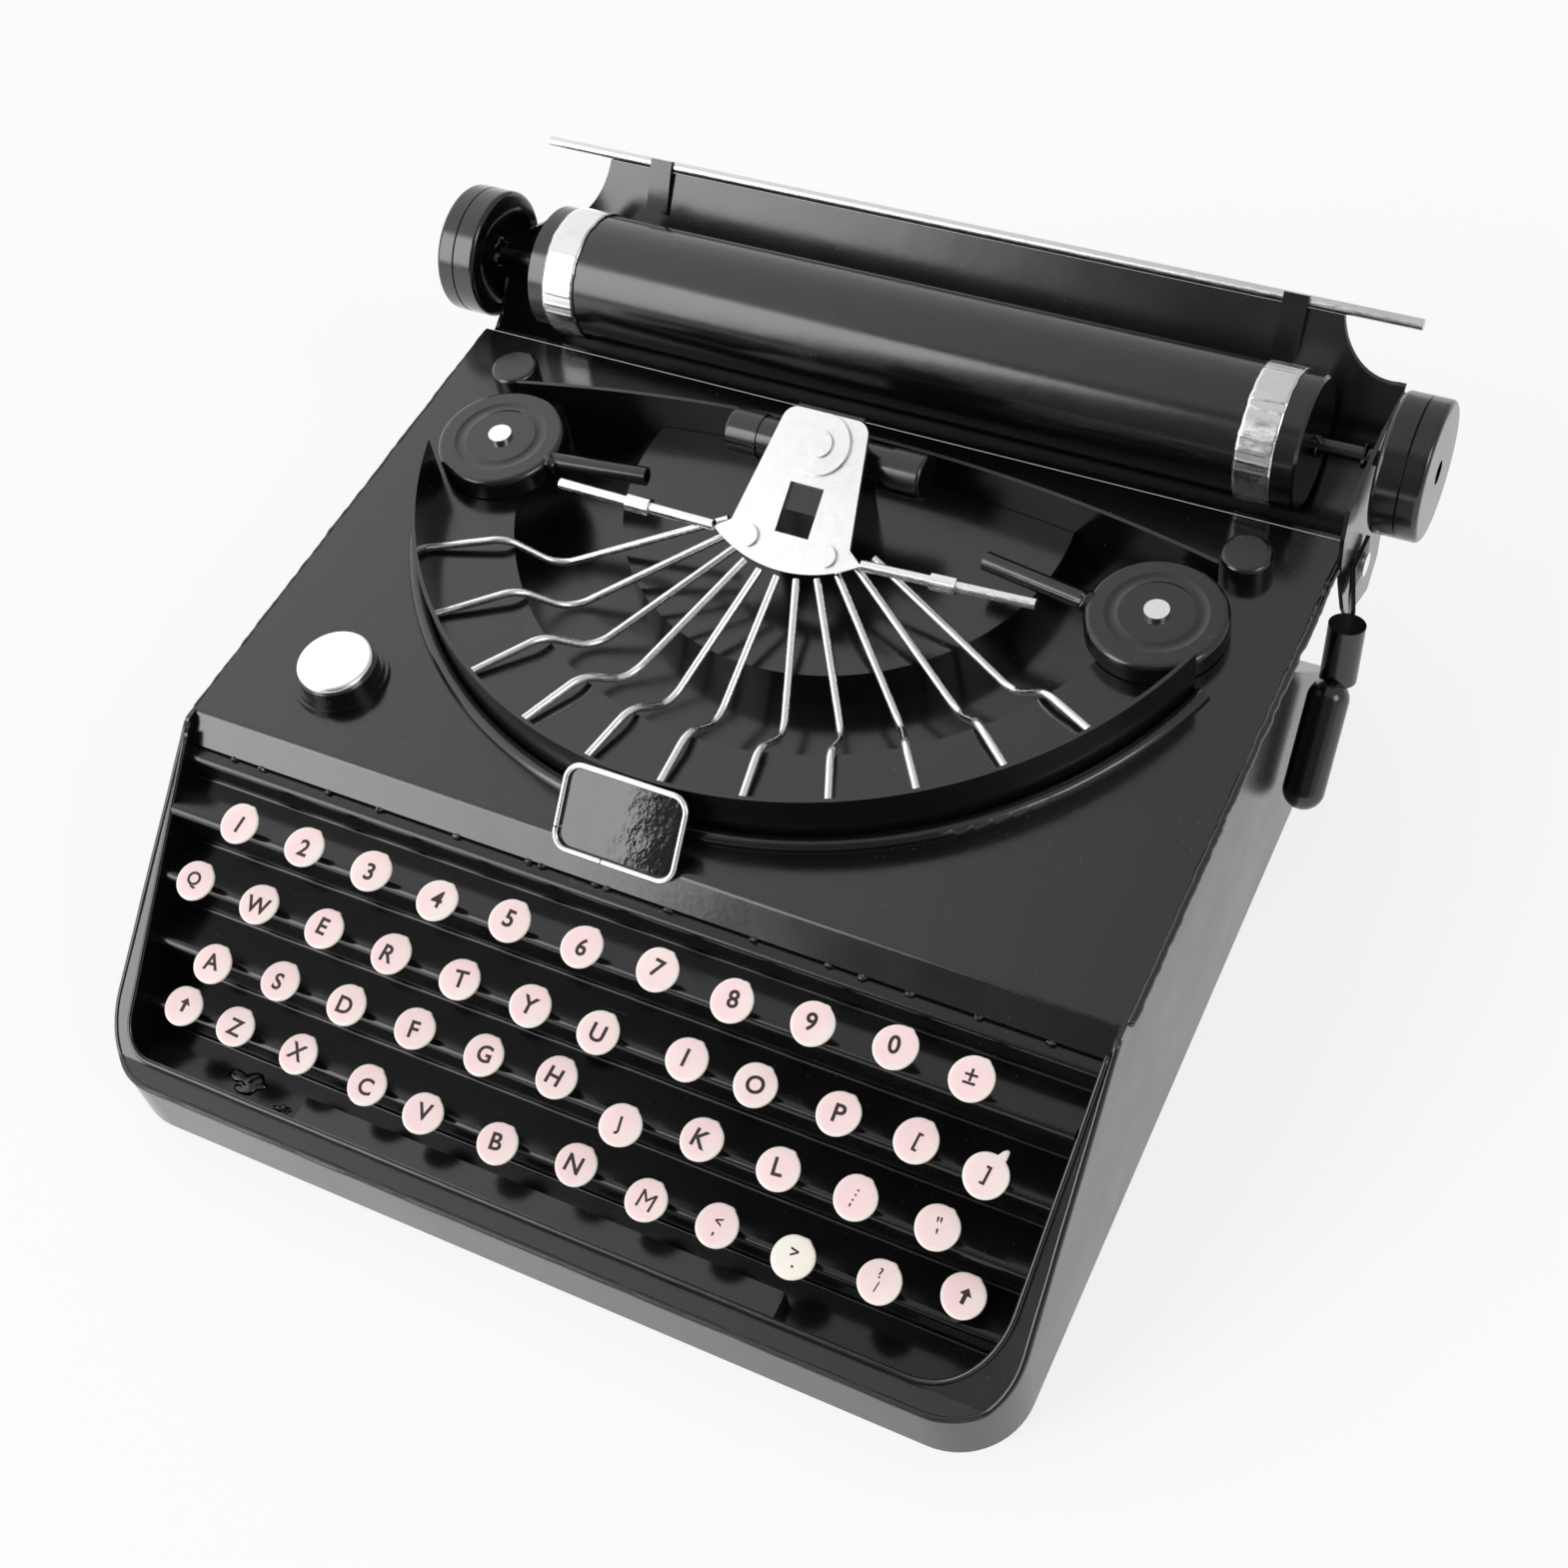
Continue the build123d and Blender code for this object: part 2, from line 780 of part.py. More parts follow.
# Rear wall of the basket, standing on the deck at both ends
with BuildPart() as basket_rear_wall:
    with BuildSketch(Plane.XY.offset(pan_floor)):
        with Locations((0, rear_arc_centre)):
            Circle(rear_arc_radius + sheet)
            Circle(rear_arc_radius, mode=Mode.SUBTRACT)
        with Locations((0, rear_arc_y)):
            Rectangle(2 * rear_wall_half, drum_radius, mode=Mode.INTERSECT)
    extrude(amount=rear_wall_top - pan_floor)
    with BuildSketch(Plane.XY.offset(pan_floor)):
        with Locations((0, basket_y)):
            Rectangle(2 * wide, 2 * wide)
            Circle(opening_radius - fit_gap, mode=Mode.SUBTRACT)
    extrude(amount=deck_height - pan_floor, mode=Mode.SUBTRACT)
keep(basket_rear_wall, "basket_rear_wall")

# Type bars, bent wires that fan out from the guide to the rim
bar_reach = rim_radius - sheet / 2 - fit_gap
for number in range(1, bar_count + 1):
    bar_turn = -90 + bar_fan_step * (number - (bar_count + 1) / 2)
    bar_swing = bar_swings[number - 1]
    fan_offset = bar_fan_y - basket_y
    fan_depth = fan_offset * sin(radians(bar_turn))
    bar_length = -fan_depth + sqrt(fan_depth**2 + bar_reach**2 - fan_offset**2)
    bar_stations = (
        (bar_length, bar_turn, deck_height + bar_radius + fit_gap),
        (bar_length - bar_hump_run, bar_turn + bar_hump_share * bar_swing, deck_height + bar_hump_rise),
        (bar_length - bar_dip_run, bar_turn + bar_swing, deck_height - bar_dip_drop),
        (bar_inner_reach, bar_turn, deck_height + bar_inner_rise),
    )
    bar_points = []
    for reach, turn, height in bar_stations:
        bar_points.append((reach * cos(radians(turn)), bar_fan_y + reach * sin(radians(turn)), height))
    with BuildPart() as type_bar:
        with BuildLine() as bar_path:
            FilletPolyline(*bar_points, radius=bar_bend)
        with BuildSketch(Plane(origin=bar_path.line @ 0, z_dir=bar_path.line % 0)):
            Circle(bar_radius)
        sweep(path=bar_path.line)
    keep(type_bar, f"type_bar_{number:02d}")

# Type guide plate
with BuildPart() as type_guide:
    with BuildSketch(guide_plane.offset(-sheet / 2)):
        with BuildLine():
            FilletPolyline(
                (-guide_tip_half, 0),
                (-guide_neck_half, guide_neck_reach),
                (-guide_top_half, guide_top_reach),
                (guide_top_half, guide_top_reach),
                (guide_neck_half, guide_neck_reach),
                (guide_tip_half, 0),
                radius=(0, guide_corner, guide_corner, 0),
            )
            ThreePointArc((-guide_tip_half, 0), (0, -guide_sag), (guide_tip_half, 0))
        make_face()
        with Locations((slot_shift, slot_reach)):
            Rectangle(slot_width, slot_length, mode=Mode.SUBTRACT)
        with Locations((slot_shift, boss_reach)):
            Circle(pivot_radius, mode=Mode.SUBTRACT)
    extrude(amount=sheet)
keep(type_guide, "type_guide")

# Boss and rivet heads on the guide plate
boss_drop = roller_band_radius
with BuildPart() as guide_rivets:
    with BuildSketch(guide_plane.offset(sheet / 2)):
        with Locations((slot_shift, boss_reach)):
            Circle(boss_radius)
    extrude(amount=boss_rise)
    with BuildSketch(guide_plane.offset(sheet / 2)):
        with Locations((slot_shift, boss_reach)):
            Circle(boss_pin_radius)
    extrude(amount=boss_pin_rise)
    with BuildSketch(guide_plane.offset(sheet / 2)):
        with Locations((slot_shift, boss_reach)):
            Circle(pivot_radius)
    extrude(amount=-boss_drop)
    with BuildSketch(guide_plane.offset(sheet / 2)):
        with Locations((-guide_rivet_half, 0), (guide_rivet_half, 0)):
            Circle(guide_rivet_radius)
    extrude(amount=guide_rivet_rise)
    with BuildSketch(Plane.YZ):
        with Locations((roller_y, roller_height)):
            Circle(roller_radius + fit_gap)
    extrude(amount=roller_half, both=True, mode=Mode.SUBTRACT)
keep(guide_rivets, "guide_rivets")

# Ribbon arms, rods with a collar that reach out from the guide's tips
for side, side_name, back_step in ((-1, "left", left_arm_back_step), (1, "right", right_arm_back_step)):
    arm_start = Vector(side * (guide_tip_half + fit_gap), guide_y, arm_height)
    arm_end = Vector(side * arm_end_half, guide_y + back_step, arm_height)
    arm_way = (arm_end - arm_start).normalized()
    arm_collar = arm_start + arm_way * (arm_collar_half - guide_tip_half - arm_collar_length / 2)
    with BuildPart() as ribbon_arm:
        with BuildSketch(Plane(origin=arm_start, z_dir=arm_way)):
            Circle(arm_radius)
        extrude(amount=(arm_end - arm_start).length)
        with BuildSketch(Plane(origin=arm_collar, z_dir=arm_way)):
            Circle(arm_collar_radius)
        extrude(amount=arm_collar_length)
    keep(ribbon_arm, f"{side_name}_ribbon_arm")

# Guide roller behind the plate, with a band at each end
with BuildPart() as guide_roller:
    with BuildSketch(Plane.YZ.offset(roller_shift)):
        with Locations((roller_y, roller_height)):
            Circle(roller_radius)
    extrude(amount=roller_half, both=True)
    for side in (-1, 1):
        with BuildSketch(Plane.YZ.offset(roller_shift + side * roller_half)):
            with Locations((roller_y, roller_height)):
                Circle(roller_band_radius)
        extrude(amount=-side * roller_band_length)
    fillet(guide_roller.edges().group_by(Axis.X)[0], sheet)
    fillet(guide_roller.edges().group_by(Axis.X)[-1], sheet)
keep(guide_roller, "guide_roller")

# Folded post that carries the guide on the drum
guide_slope = tan(radians(guide_pitch))
guide_under = guide_height - (sheet / 2 + fit_gap) / cos(radians(guide_pitch))
with BuildPart() as guide_post:
    with BuildSketch(Plane.YZ):
        with BuildLine():
            Polyline(
                (post_front, drum_top),
                (post_front, guide_under + guide_slope * (post_front - guide_y)),
                (post_back, guide_under + guide_slope * (post_back - guide_y)),
                (post_back, drum_top),
                close=True,
            )
        make_face()
    extrude(amount=post_half, both=True)
    with BuildSketch(Plane.YZ):
        with BuildLine():
            Polyline(
                (post_front + sheet, drum_top),
                (post_front + sheet, guide_under + guide_slope * (post_front - guide_y) - sheet),
                (post_back - sheet, guide_under + guide_slope * (post_back - guide_y) - 2 * sheet),
                (post_back - sheet, drum_top),
                close=True,
            )
        make_face()
    extrude(amount=post_half - sheet, both=True, mode=Mode.SUBTRACT)
    with BuildSketch(Plane.YZ):
        with Locations((roller_y, roller_height)):
            Circle(roller_radius + fit_gap)
    extrude(amount=roller_half, both=True, mode=Mode.SUBTRACT)
    with BuildSketch(guide_plane):
        with Locations((slot_shift, boss_reach)):
            Circle(pivot_radius + fit_gap)
    extrude(amount=-2 * boss_drop, mode=Mode.SUBTRACT)
keep(guide_post, "guide_post")

# Ribbon spools, pressed cups that turn on their rivets
for spool_x, side_name in ((left_spool_x, "left"), (right_spool_x, "right")):
    spool_plane = Plane(origin=(spool_x, spool_y, 0), x_dir=(1, 0, 0), z_dir=(0, -1, 0))
    with BuildPart() as spool:
        with BuildSketch(spool_plane):
            with BuildLine():
                FilletPolyline(
                    (pivot_radius + running_gap, spool_top),
                    (spool_radius, spool_top),
                    (spool_radius, deck_height + moving_gap),
                    (spool_radius - sheet, deck_height + moving_gap),
                    (spool_radius - sheet, spool_top - sheet),
                    (spool_hub_radius, spool_top - sheet),
                    (spool_hub_radius, deck_height + running_gap),
                    (pivot_radius + running_gap, deck_height + running_gap),
                    radius=(0, spool_round, 0, 0, spool_round - sheet, 0, 0, 0),
                    close=True,
                )
            make_face()
        revolve(axis=Axis((spool_x, spool_y, 0), (0, 0, 1)))
        with BuildSketch(spool_plane):
            with Locations((spool_ring_radius, spool_top - spool_ring_depth + spool_ring_curve)):
                Circle(spool_ring_curve)
        revolve(axis=Axis((spool_x, spool_y, 0), (0, 0, 1)), mode=Mode.SUBTRACT)
    keep(spool, f"{side_name}_spool")

# Ribbon tubes, joined to the spools' sides
tube_sides = (
    ("left", left_spool_x, left_tube_root, left_tube_turn, left_tube_length),
    ("right", right_spool_x, right_tube_root, right_tube_turn, right_tube_length),
)
tube_root_radius = spool_radius - tube_radius
for side_name, spool_x, root, turn, tube_length in tube_sides:
    tube_way = (cos(radians(turn)), sin(radians(turn)), 0)
    tube_start = (
        spool_x + tube_root_radius * cos(radians(root)),
        spool_y + tube_root_radius * sin(radians(root)),
        tube_height,
    )
    with BuildPart() as ribbon_tube:
        with BuildSketch(Plane(origin=tube_start, z_dir=tube_way)):
            Circle(tube_radius)
            Circle(tube_bore, mode=Mode.SUBTRACT)
        extrude(amount=tube_length + tube_radius)
        with BuildSketch(Plane.XY.offset(deck_height)):
            with Locations((spool_x, spool_y)):
                Circle(spool_radius)
        extrude(amount=tall, mode=Mode.SUBTRACT)
    keep(ribbon_tube, f"{side_name}_ribbon_tube")

# Rivets of the two spools and of the return lever
right_plate_inner = carriage_right
right_plate_outer = right_plate_inner + sheet
lever_inner = right_plate_outer + moving_gap
lever_outer = lever_inner + sheet
with BuildPart() as pivot_rivets:
    with BuildSketch(Plane.XY.offset(deck_under)):
        with Locations((left_spool_x, spool_y), (right_spool_x, spool_y)):
            Circle(pivot_radius)
    extrude(amount=spool_top + running_gap - deck_under)
    with BuildSketch(Plane.XY.offset(spool_top + running_gap)):
        with Locations((left_spool_x, spool_y), (right_spool_x, spool_y)):
            Circle(pivot_head_radius)
    extrude(amount=pivot_head_rise)
    with BuildSketch(Plane.YZ.offset(right_plate_inner)):
        with Locations((lever_y, lever_height)):
            Circle(pivot_radius)
    extrude(amount=lever_outer + running_gap - right_plate_inner)
    with BuildSketch(Plane.YZ.offset(lever_outer + running_gap)):
        with Locations((lever_y, lever_height)):
            Circle(pivot_head_radius)
    extrude(amount=pivot_head_rise)
keep(pivot_rivets, "pivot_rivets")

# Round studs at the back corners of the deck
with BuildPart() as deck_studs:
    with BuildSketch(Plane.XY.offset(deck_height)):
        with Locations((-stud_half, stud_y), (stud_half, stud_y)):
            Circle(stud_radius)
    extrude(amount=stud_height)
    fillet(deck_studs.edges().group_by(Axis.Z)[-1], stud_round)
keep(deck_studs, "deck_studs")

# Silver button on its stepped body
button_body_top = deck_height + button_body_rise
with BuildPart() as button_collar:
    with Locations((button_x, button_y, deck_height)):
        Cylinder(button_collar_radius, button_collar_rise / 2, align=stand_on)
        Cylinder(button_collar_radius - button_step, button_collar_rise, align=stand_on)
        Cylinder(button_body_radius, button_body_rise, align=stand_on)
keep(button_collar, "button_collar")

with BuildPart() as silver_button:
    with Locations((button_x, button_y, button_body_top)):
        Cylinder(button_radius, button_thickness, align=stand_on)
    fillet(silver_button.edges().group_by(Axis.Z)[-1], button_round)
keep(silver_button, "silver_button")

# Bare nameplate on the bevel and the two bent wires that frame it
nameplate_middle = (nameplate_x, nameplate_length / 2 - nameplate_overlap)
with BuildPart() as nameplate:
    with BuildSketch(nameplate_plane.offset(fit_gap / 2)):
        with Locations(nameplate_middle):
            RectangleRounded(nameplate_width, nameplate_length, nameplate_corner)
    extrude(amount=sheet)
keep(nameplate, "nameplate")

frame_level = fit_gap / 2 + sheet + frame_wire_radius
frame_left = nameplate_x - nameplate_width / 2
frame_right = nameplate_x + nameplate_width / 2
frame_low = -nameplate_overlap
frame_high = nameplate_length - nameplate_overlap
with BuildPart() as nameplate_frame:
    with BuildLine(nameplate_plane.offset(frame_level)) as frame_path:
        FilletPolyline(
            (frame_left, frame_low),
            (frame_right, frame_low),
            (frame_right, frame_high),
            (frame_left, frame_high),
            radius=nameplate_corner,
            close=True,
        )
    with BuildSketch(Plane(origin=frame_path.line @ 0, z_dir=frame_path.line % 0)):
        Circle(frame_wire_radius)
    sweep(path=frame_path.line)
    with BuildSketch(nameplate_plane.offset(frame_level)):
        with Locations((frame_left + frame_joint_share * nameplate_width, frame_low)):
            Rectangle(frame_joint, 4 * frame_wire_radius)
        with Locations((frame_left, frame_low + frame_joint_rise)):
            Rectangle(4 * frame_wire_radius, frame_joint)
    extrude(amount=2 * frame_wire_radius, both=True, mode=Mode.SUBTRACT)
keep(nameplate_frame, "nameplate_frame")

# Carriage trough: one sheet from the deck's back edge, level with the deck, round under the platen and up to
# the paper table
table_pitch = trough_back_angle + 90
table_start_inner = polar(trough_inner, trough_back_angle)
table_start_outer = polar(trough_outer, trough_back_angle)
table_way = (cos(radians(table_pitch)), sin(radians(table_pitch)))
table_length = (table_top - table_start_inner[1]) / table_way[1]
table_run = table_way[0] * table_length
table_rise = table_way[1] * table_length
table_end_inner = (table_start_inner[0] + table_run, table_start_inner[1] + table_rise)
table_end_outer = (table_start_outer[0] + table_run, table_start_outer[1] + table_rise)
trough_sweep = trough_back_angle - trough_lip_angle
with BuildPart() as carriage_trough:
    with BuildSketch(Plane.YZ.offset(carriage_left)):
        with BuildLine():
            CenterArc((platen_y, platen_height), trough_inner, trough_lip_angle, trough_sweep)
            CenterArc((platen_y, platen_height), trough_outer, trough_lip_angle, trough_sweep)
            Line(polar(trough_inner, trough_lip_angle), polar(trough_outer, trough_lip_angle))
            Line(table_start_inner, table_end_inner)
            Line(table_start_outer, table_end_outer)
            Line(table_end_inner, table_end_outer)
        make_face()
        with Locations((platen_y - trough_outer, deck_height)):
            Rectangle(trough_outer, platen_rise, align=(Align.CENTER, Align.MIN), mode=Mode.SUBTRACT)
    extrude(amount=2 * carriage_half)
    for end, way, shoulder, notch_width, notch_rise in (
        (carriage_left, -1, left_shoulder, left_notch_width, left_notch_rise),
        (carriage_right, 1, right_shoulder, right_notch_width, right_notch_rise),
    ):
        notch_bend = notch_width * (1 - notch_bend_share)
        notch_start = (end - way * notch_width, tall)
        notch_end = (end - way * 2 * sheet, shoulder)
        notch_middle = (end - way * notch_bend, shoulder + notch_rise)
        with BuildSketch(Plane.XZ.offset(-platen_y)):
            with BuildLine():
                ThreePointArc(notch_start, notch_middle, notch_end)
                Polyline(notch_end, (end + way * sheet, shoulder), (end + way * sheet, tall), notch_start)
            make_face()
        extrude(amount=-tall, mode=Mode.SUBTRACT)
keep(carriage_trough, "carriage_trough")

# Paper-rest rod along the table's top edge
rod_y = (table_end_inner[0] + table_end_outer[0]) / 2 + table_way[0] * (rest_rod_radius + fit_gap / 2)
rod_height = (table_end_inner[1] + table_end_outer[1]) / 2 + table_way[1] * (rest_rod_radius + fit_gap / 2)
with BuildPart() as paper_rest_rod:
    with BuildSketch(Plane.YZ.offset(carriage_left - rest_rod_left_overhang)):
        with Locations((rod_y, rod_height)):
            Circle(rest_rod_radius)
    extrude(amount=2 * carriage_half + rest_rod_left_overhang + rest_rod_right_overhang)
keep(paper_rest_rod, "paper_rest_rod")

# Clips that hold the rod to the table
clip_plane_y = table_end_inner[0] - table_way[1] * fit_gap / 2
clip_plane_z = table_end_inner[1] + table_way[0] * fit_gap / 2
clip_low = (clip_plane_y - table_way[0] * clip_length, clip_plane_z - table_way[1] * clip_length)
clip_reach = 2 * rest_rod_radius
clip_high = (clip_plane_y + table_way[0] * clip_reach, clip_plane_z + table_way[1] * clip_reach)
clip_step = (-table_way[1] * clip_thickness, table_way[0] * clip_thickness)
with BuildPart() as rod_clips:
    for clip_x in (left_clip_x, right_clip_x):
        with BuildSketch(Plane.YZ.offset(clip_x)):
            with BuildLine():
                Polyline(
                    clip_low,
                    clip_high,
                    (clip_high[0] + 2 * clip_step[0], clip_high[1] + 2 * clip_step[1]),
                    (clip_low[0] + clip_step[0], clip_low[1] + clip_step[1]),
                    close=True,
                )
            make_face()
            with Locations((rod_y, rod_height)):
                Circle(rest_rod_radius + fit_gap / 2, mode=Mode.SUBTRACT)
        extrude(amount=clip_width / 2, both=True)
keep(rod_clips, "rod_clips")


# End plates of the carriage, with bearing holes for the platen shaft
def table_back(height):
    """Point of the paper table's outer side at a height."""
    return (table_start_outer[0] + (height - table_start_outer[1]) * table_way[0] / table_way[1], height)


right_plate_back = table_back(right_shoulder - plate_shoulder_round)
right_plate_shoulder = (right_plate_back[0] - plate_shoulder_round, right_shoulder)
neck_top = platen_height + plate_neck
right_plate_outline = [(y, deck_height + rise) for y, rise in right_plate_front]
left_plate_sweep = trough_back_angle - left_plate_angle
left_plate_points = (
    polar(trough_outer, left_plate_angle),
    (platen_y - left_plate_foot, deck_height + sheet),
    (platen_y - plate_neck, platen_height - plate_neck),
    (platen_y - plate_neck, neck_top),
    (platen_y + plate_neck, neck_top),
    table_back(left_shoulder),
    table_start_outer,
)
with BuildPart() as left_end_plate:
    with BuildSketch(Plane.YZ.offset(carriage_left - sheet)):
        with BuildLine():
            Polyline(*left_plate_points)
            CenterArc((platen_y, platen_height), trough_outer, left_plate_angle, left_plate_sweep)
        make_face()
        with Locations((platen_y, platen_height)):
            Circle(shaft_radius + running_gap, mode=Mode.SUBTRACT)
    extrude(amount=sheet)
keep(left_end_plate, "left_end_plate")

with BuildPart() as right_end_plate:
    with BuildSketch(Plane.YZ.offset(carriage_right)):
        with BuildLine():
            Polyline(
                *right_plate_outline,
                table_start_outer,
                right_plate_back,
                right_plate_shoulder,
                (platen_y + plate_neck, neck_top),
                close=True,
            )
        make_face()
        with Locations((platen_y, platen_height)):
            Circle(shaft_radius + running_gap, mode=Mode.SUBTRACT)
        with Locations((lever_y, lever_height)):
            Circle(pivot_radius, mode=Mode.SUBTRACT)
    extrude(amount=sheet)
keep(right_end_plate, "right_end_plate")

# Platen: tube, end caps, silver rings, shaft and knobs
platen_left = carriage_shift - platen_half
platen_right = carriage_shift + platen_half
with BuildPart() as platen_tube:
    with BuildSketch(platen_plane):
        with BuildLine():
            Polyline(
                (platen_left, platen_radius - platen_wall),
                (platen_left, platen_radius - platen_round / 2),
                (platen_left + platen_round / 2, platen_radius),
                (platen_right - platen_round / 2, platen_radius),
                (platen_right, platen_radius - platen_round / 2),
                (platen_right, platen_radius - platen_wall),
                close=True,
            )
        make_face()
    revolve(axis=platen_axis)
keep(platen_tube, "platen_tube")

with BuildPart() as platen_caps:
    for cap_start, cap_way in ((platen_left, 1), (platen_right, -1)):
        with BuildSketch(Plane.YZ.offset(cap_start)):
            with Locations((platen_y, platen_height)):
                Circle(platen_radius - platen_wall)
                Circle(shaft_radius, mode=Mode.SUBTRACT)
        extrude(amount=cap_way * cap_thickness)
keep(platen_caps, "platen_caps")

with BuildPart() as platen_rings:
    for ring_start, ring_way in ((platen_left + ring_inset, 1), (platen_right - ring_inset, -1)):
        with BuildSketch(Plane.YZ.offset(ring_start)):
            with Locations((platen_y, platen_height)):
                Circle(platen_radius + ring_thickness)
                Circle(platen_radius, mode=Mode.SUBTRACT)
        extrude(amount=ring_way * ring_width)
keep(platen_rings, "platen_rings")

shaft_left = knob_inner_left - knob_length + knob_hole_depth
shaft_right = knob_inner_right + knob_length - knob_hole_depth
with BuildPart() as platen_shaft:
    with BuildSketch(Plane.YZ.offset(shaft_left)):
        with Locations((platen_y, platen_height)):
            Circle(shaft_radius)
    extrude(amount=shaft_right - shaft_left)
keep(platen_shaft, "platen_shaft")

for inner_face, way, knob_name in ((knob_inner_left, -1, "left_knob"), (knob_inner_right, 1, "right_knob")):
    outer_face = inner_face + way * knob_length
    dish_floor = inner_face + way * knob_dish
    seam = outer_face - way * knob_length * knob_seam_share
    bore_end = outer_face - way * knob_hole_depth
    with BuildPart() as knob:
        with BuildSketch(platen_plane):
            with BuildLine():
                TangentArc((dish_floor, knob_dish_floor), (inner_face, knob_dish_radius), tangent=(0, 1))
                Line((inner_face, knob_dish_radius), (inner_face, knob_radius - knob_round))
                TangentArc(
                    (inner_face, knob_radius - knob_round),
                    (inner_face + way * knob_round, knob_radius),
                    tangent=(0, 1),
                )
                Polyline(
                    (inner_face + way * knob_round, knob_radius),
                    (seam - way * knob_seam_half, knob_radius),
                    (seam, knob_radius - knob_seam_depth),
                    (seam + way * knob_seam_half, knob_radius),
                    (outer_face - way * knob_round, knob_radius),
                )
                TangentArc(
                    (outer_face - way * knob_round, knob_radius),
                    (outer_face, knob_radius - knob_round),
                    tangent=(way, 0),
                )
                Polyline(
                    (outer_face, knob_radius - knob_round),
                    (outer_face, knob_hole_radius),
                    (bore_end, knob_hole_radius),
                    (bore_end, shaft_radius),
                    (dish_floor, shaft_radius),
                    (dish_floor, knob_dish_floor),
                )
            make_face()
        revolve(axis=platen_axis)
    keep(knob, knob_name)

# Return lever: a bent strip on a rivet, with a sleeve and a capsule grip
arm_run_y = lever_elbow_y - lever_y
arm_run_z = lever_elbow_height - lever_height
arm_run = sqrt(arm_run_y**2 + arm_run_z**2)
arm_direction = (0, arm_run_y / arm_run, arm_run_z / arm_run)
arm_plane = Plane(
    origin=(0, lever_y, lever_height), x_dir=arm_direction, z_dir=(0, arm_direction[2], -arm_direction[1])
)
lever_side = 1 if arm_plane.y_dir.X > 0 else -1
strip_flat = lever_eye_radius + sheet
strip_bend = arm_run - lever_sleeve_radius - sheet
strip_offset = lever_sleeve_x - sheet / 2
sleeve_top = Vector(lever_sleeve_x, lever_elbow_y, lever_elbow_height)
sleeve_foot = Vector(lever_sleeve_x, lever_sleeve_y, lever_sleeve_height)
sleeve_way = (sleeve_foot - sleeve_top).normalized()
with BuildPart() as lever_arm:
    with BuildSketch(arm_plane):
        with BuildLine():
            Polyline(
                (-lever_eye_radius, lever_side * lever_inner),
                (strip_flat, lever_side * lever_inner),
                (strip_bend, lever_side * strip_offset),
                (arm_run, lever_side * strip_offset),
                (arm_run, lever_side * (strip_offset + sheet)),
                (strip_bend, lever_side * (strip_offset + sheet)),
                (strip_flat, lever_side * lever_outer),
                (-lever_eye_radius, lever_side * lever_outer),
                close=True,
            )
        make_face()
    extrude(amount=lever_strip_width / 2, both=True)
    with BuildSketch(Plane.YZ):
        with Locations((lever_y, lever_height)):
            Circle(pivot_radius + running_gap)
    extrude(amount=wide, mode=Mode.SUBTRACT)
    with BuildSketch(Plane(origin=sleeve_top, z_dir=sleeve_way)):
        Circle(lever_sleeve_radius)
    extrude(amount=(sleeve_foot - sleeve_top).length, both=True, mode=Mode.SUBTRACT)
keep(lever_arm, "lever_arm")

grip_top = Vector(lever_grip_x, lever_grip_top_y, lever_grip_top_height)
grip_foot = Vector(lever_grip_x, lever_grip_y, lever_grip_height)
grip_way = (grip_foot - grip_top).normalized()
with BuildPart() as lever_grips:
    with BuildSketch(Plane(origin=sleeve_top - sleeve_way * lever_sleeve_radius, z_dir=sleeve_way)):
        Circle(lever_sleeve_radius)
    extrude(amount=(sleeve_foot - sleeve_top).length + lever_sleeve_radius)
    with BuildSketch(Plane(origin=grip_top, z_dir=grip_way)):
        Circle(lever_grip_radius)
    extrude(amount=(grip_foot - grip_top).length)
    with Locations(grip_top, grip_foot):
        Sphere(lever_grip_radius)
keep(lever_grips, "lever_grips")
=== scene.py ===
"""Looks of the display typewriter: lacquered sheet metal, silver wires and enamel keys.

Metres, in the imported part's own frame: +X is the typist's right, +Y the back, +Z up.
"""
from math import cos, pi, radians, sin

import bpy
import numpy as np
from mathutils import Matrix, Vector


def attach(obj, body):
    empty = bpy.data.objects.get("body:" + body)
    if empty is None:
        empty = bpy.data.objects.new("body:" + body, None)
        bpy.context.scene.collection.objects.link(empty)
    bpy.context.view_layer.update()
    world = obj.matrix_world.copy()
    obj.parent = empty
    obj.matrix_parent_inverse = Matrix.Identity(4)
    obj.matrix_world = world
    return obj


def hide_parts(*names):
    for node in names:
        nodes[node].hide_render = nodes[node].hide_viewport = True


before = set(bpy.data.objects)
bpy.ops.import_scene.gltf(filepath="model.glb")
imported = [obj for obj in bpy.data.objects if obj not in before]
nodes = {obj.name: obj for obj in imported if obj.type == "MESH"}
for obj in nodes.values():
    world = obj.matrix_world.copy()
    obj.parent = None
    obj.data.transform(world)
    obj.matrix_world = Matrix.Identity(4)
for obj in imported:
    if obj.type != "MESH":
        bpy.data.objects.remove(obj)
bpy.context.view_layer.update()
mm = 0.001

# Camera, from the photograph's vanishing lines
camera_place = Vector((166.46, -209.9, 375.77)) * mm
camera_right = Vector((0.88934947, 0.4382519, -0.1303564))
camera_down = Vector((0.28224027, -0.75049882, -0.5975717))
camera_forward = Vector((-0.35971926, 0.49465825, -0.79114807))
camera_lens = 51.74
camera_sensor = 36.0

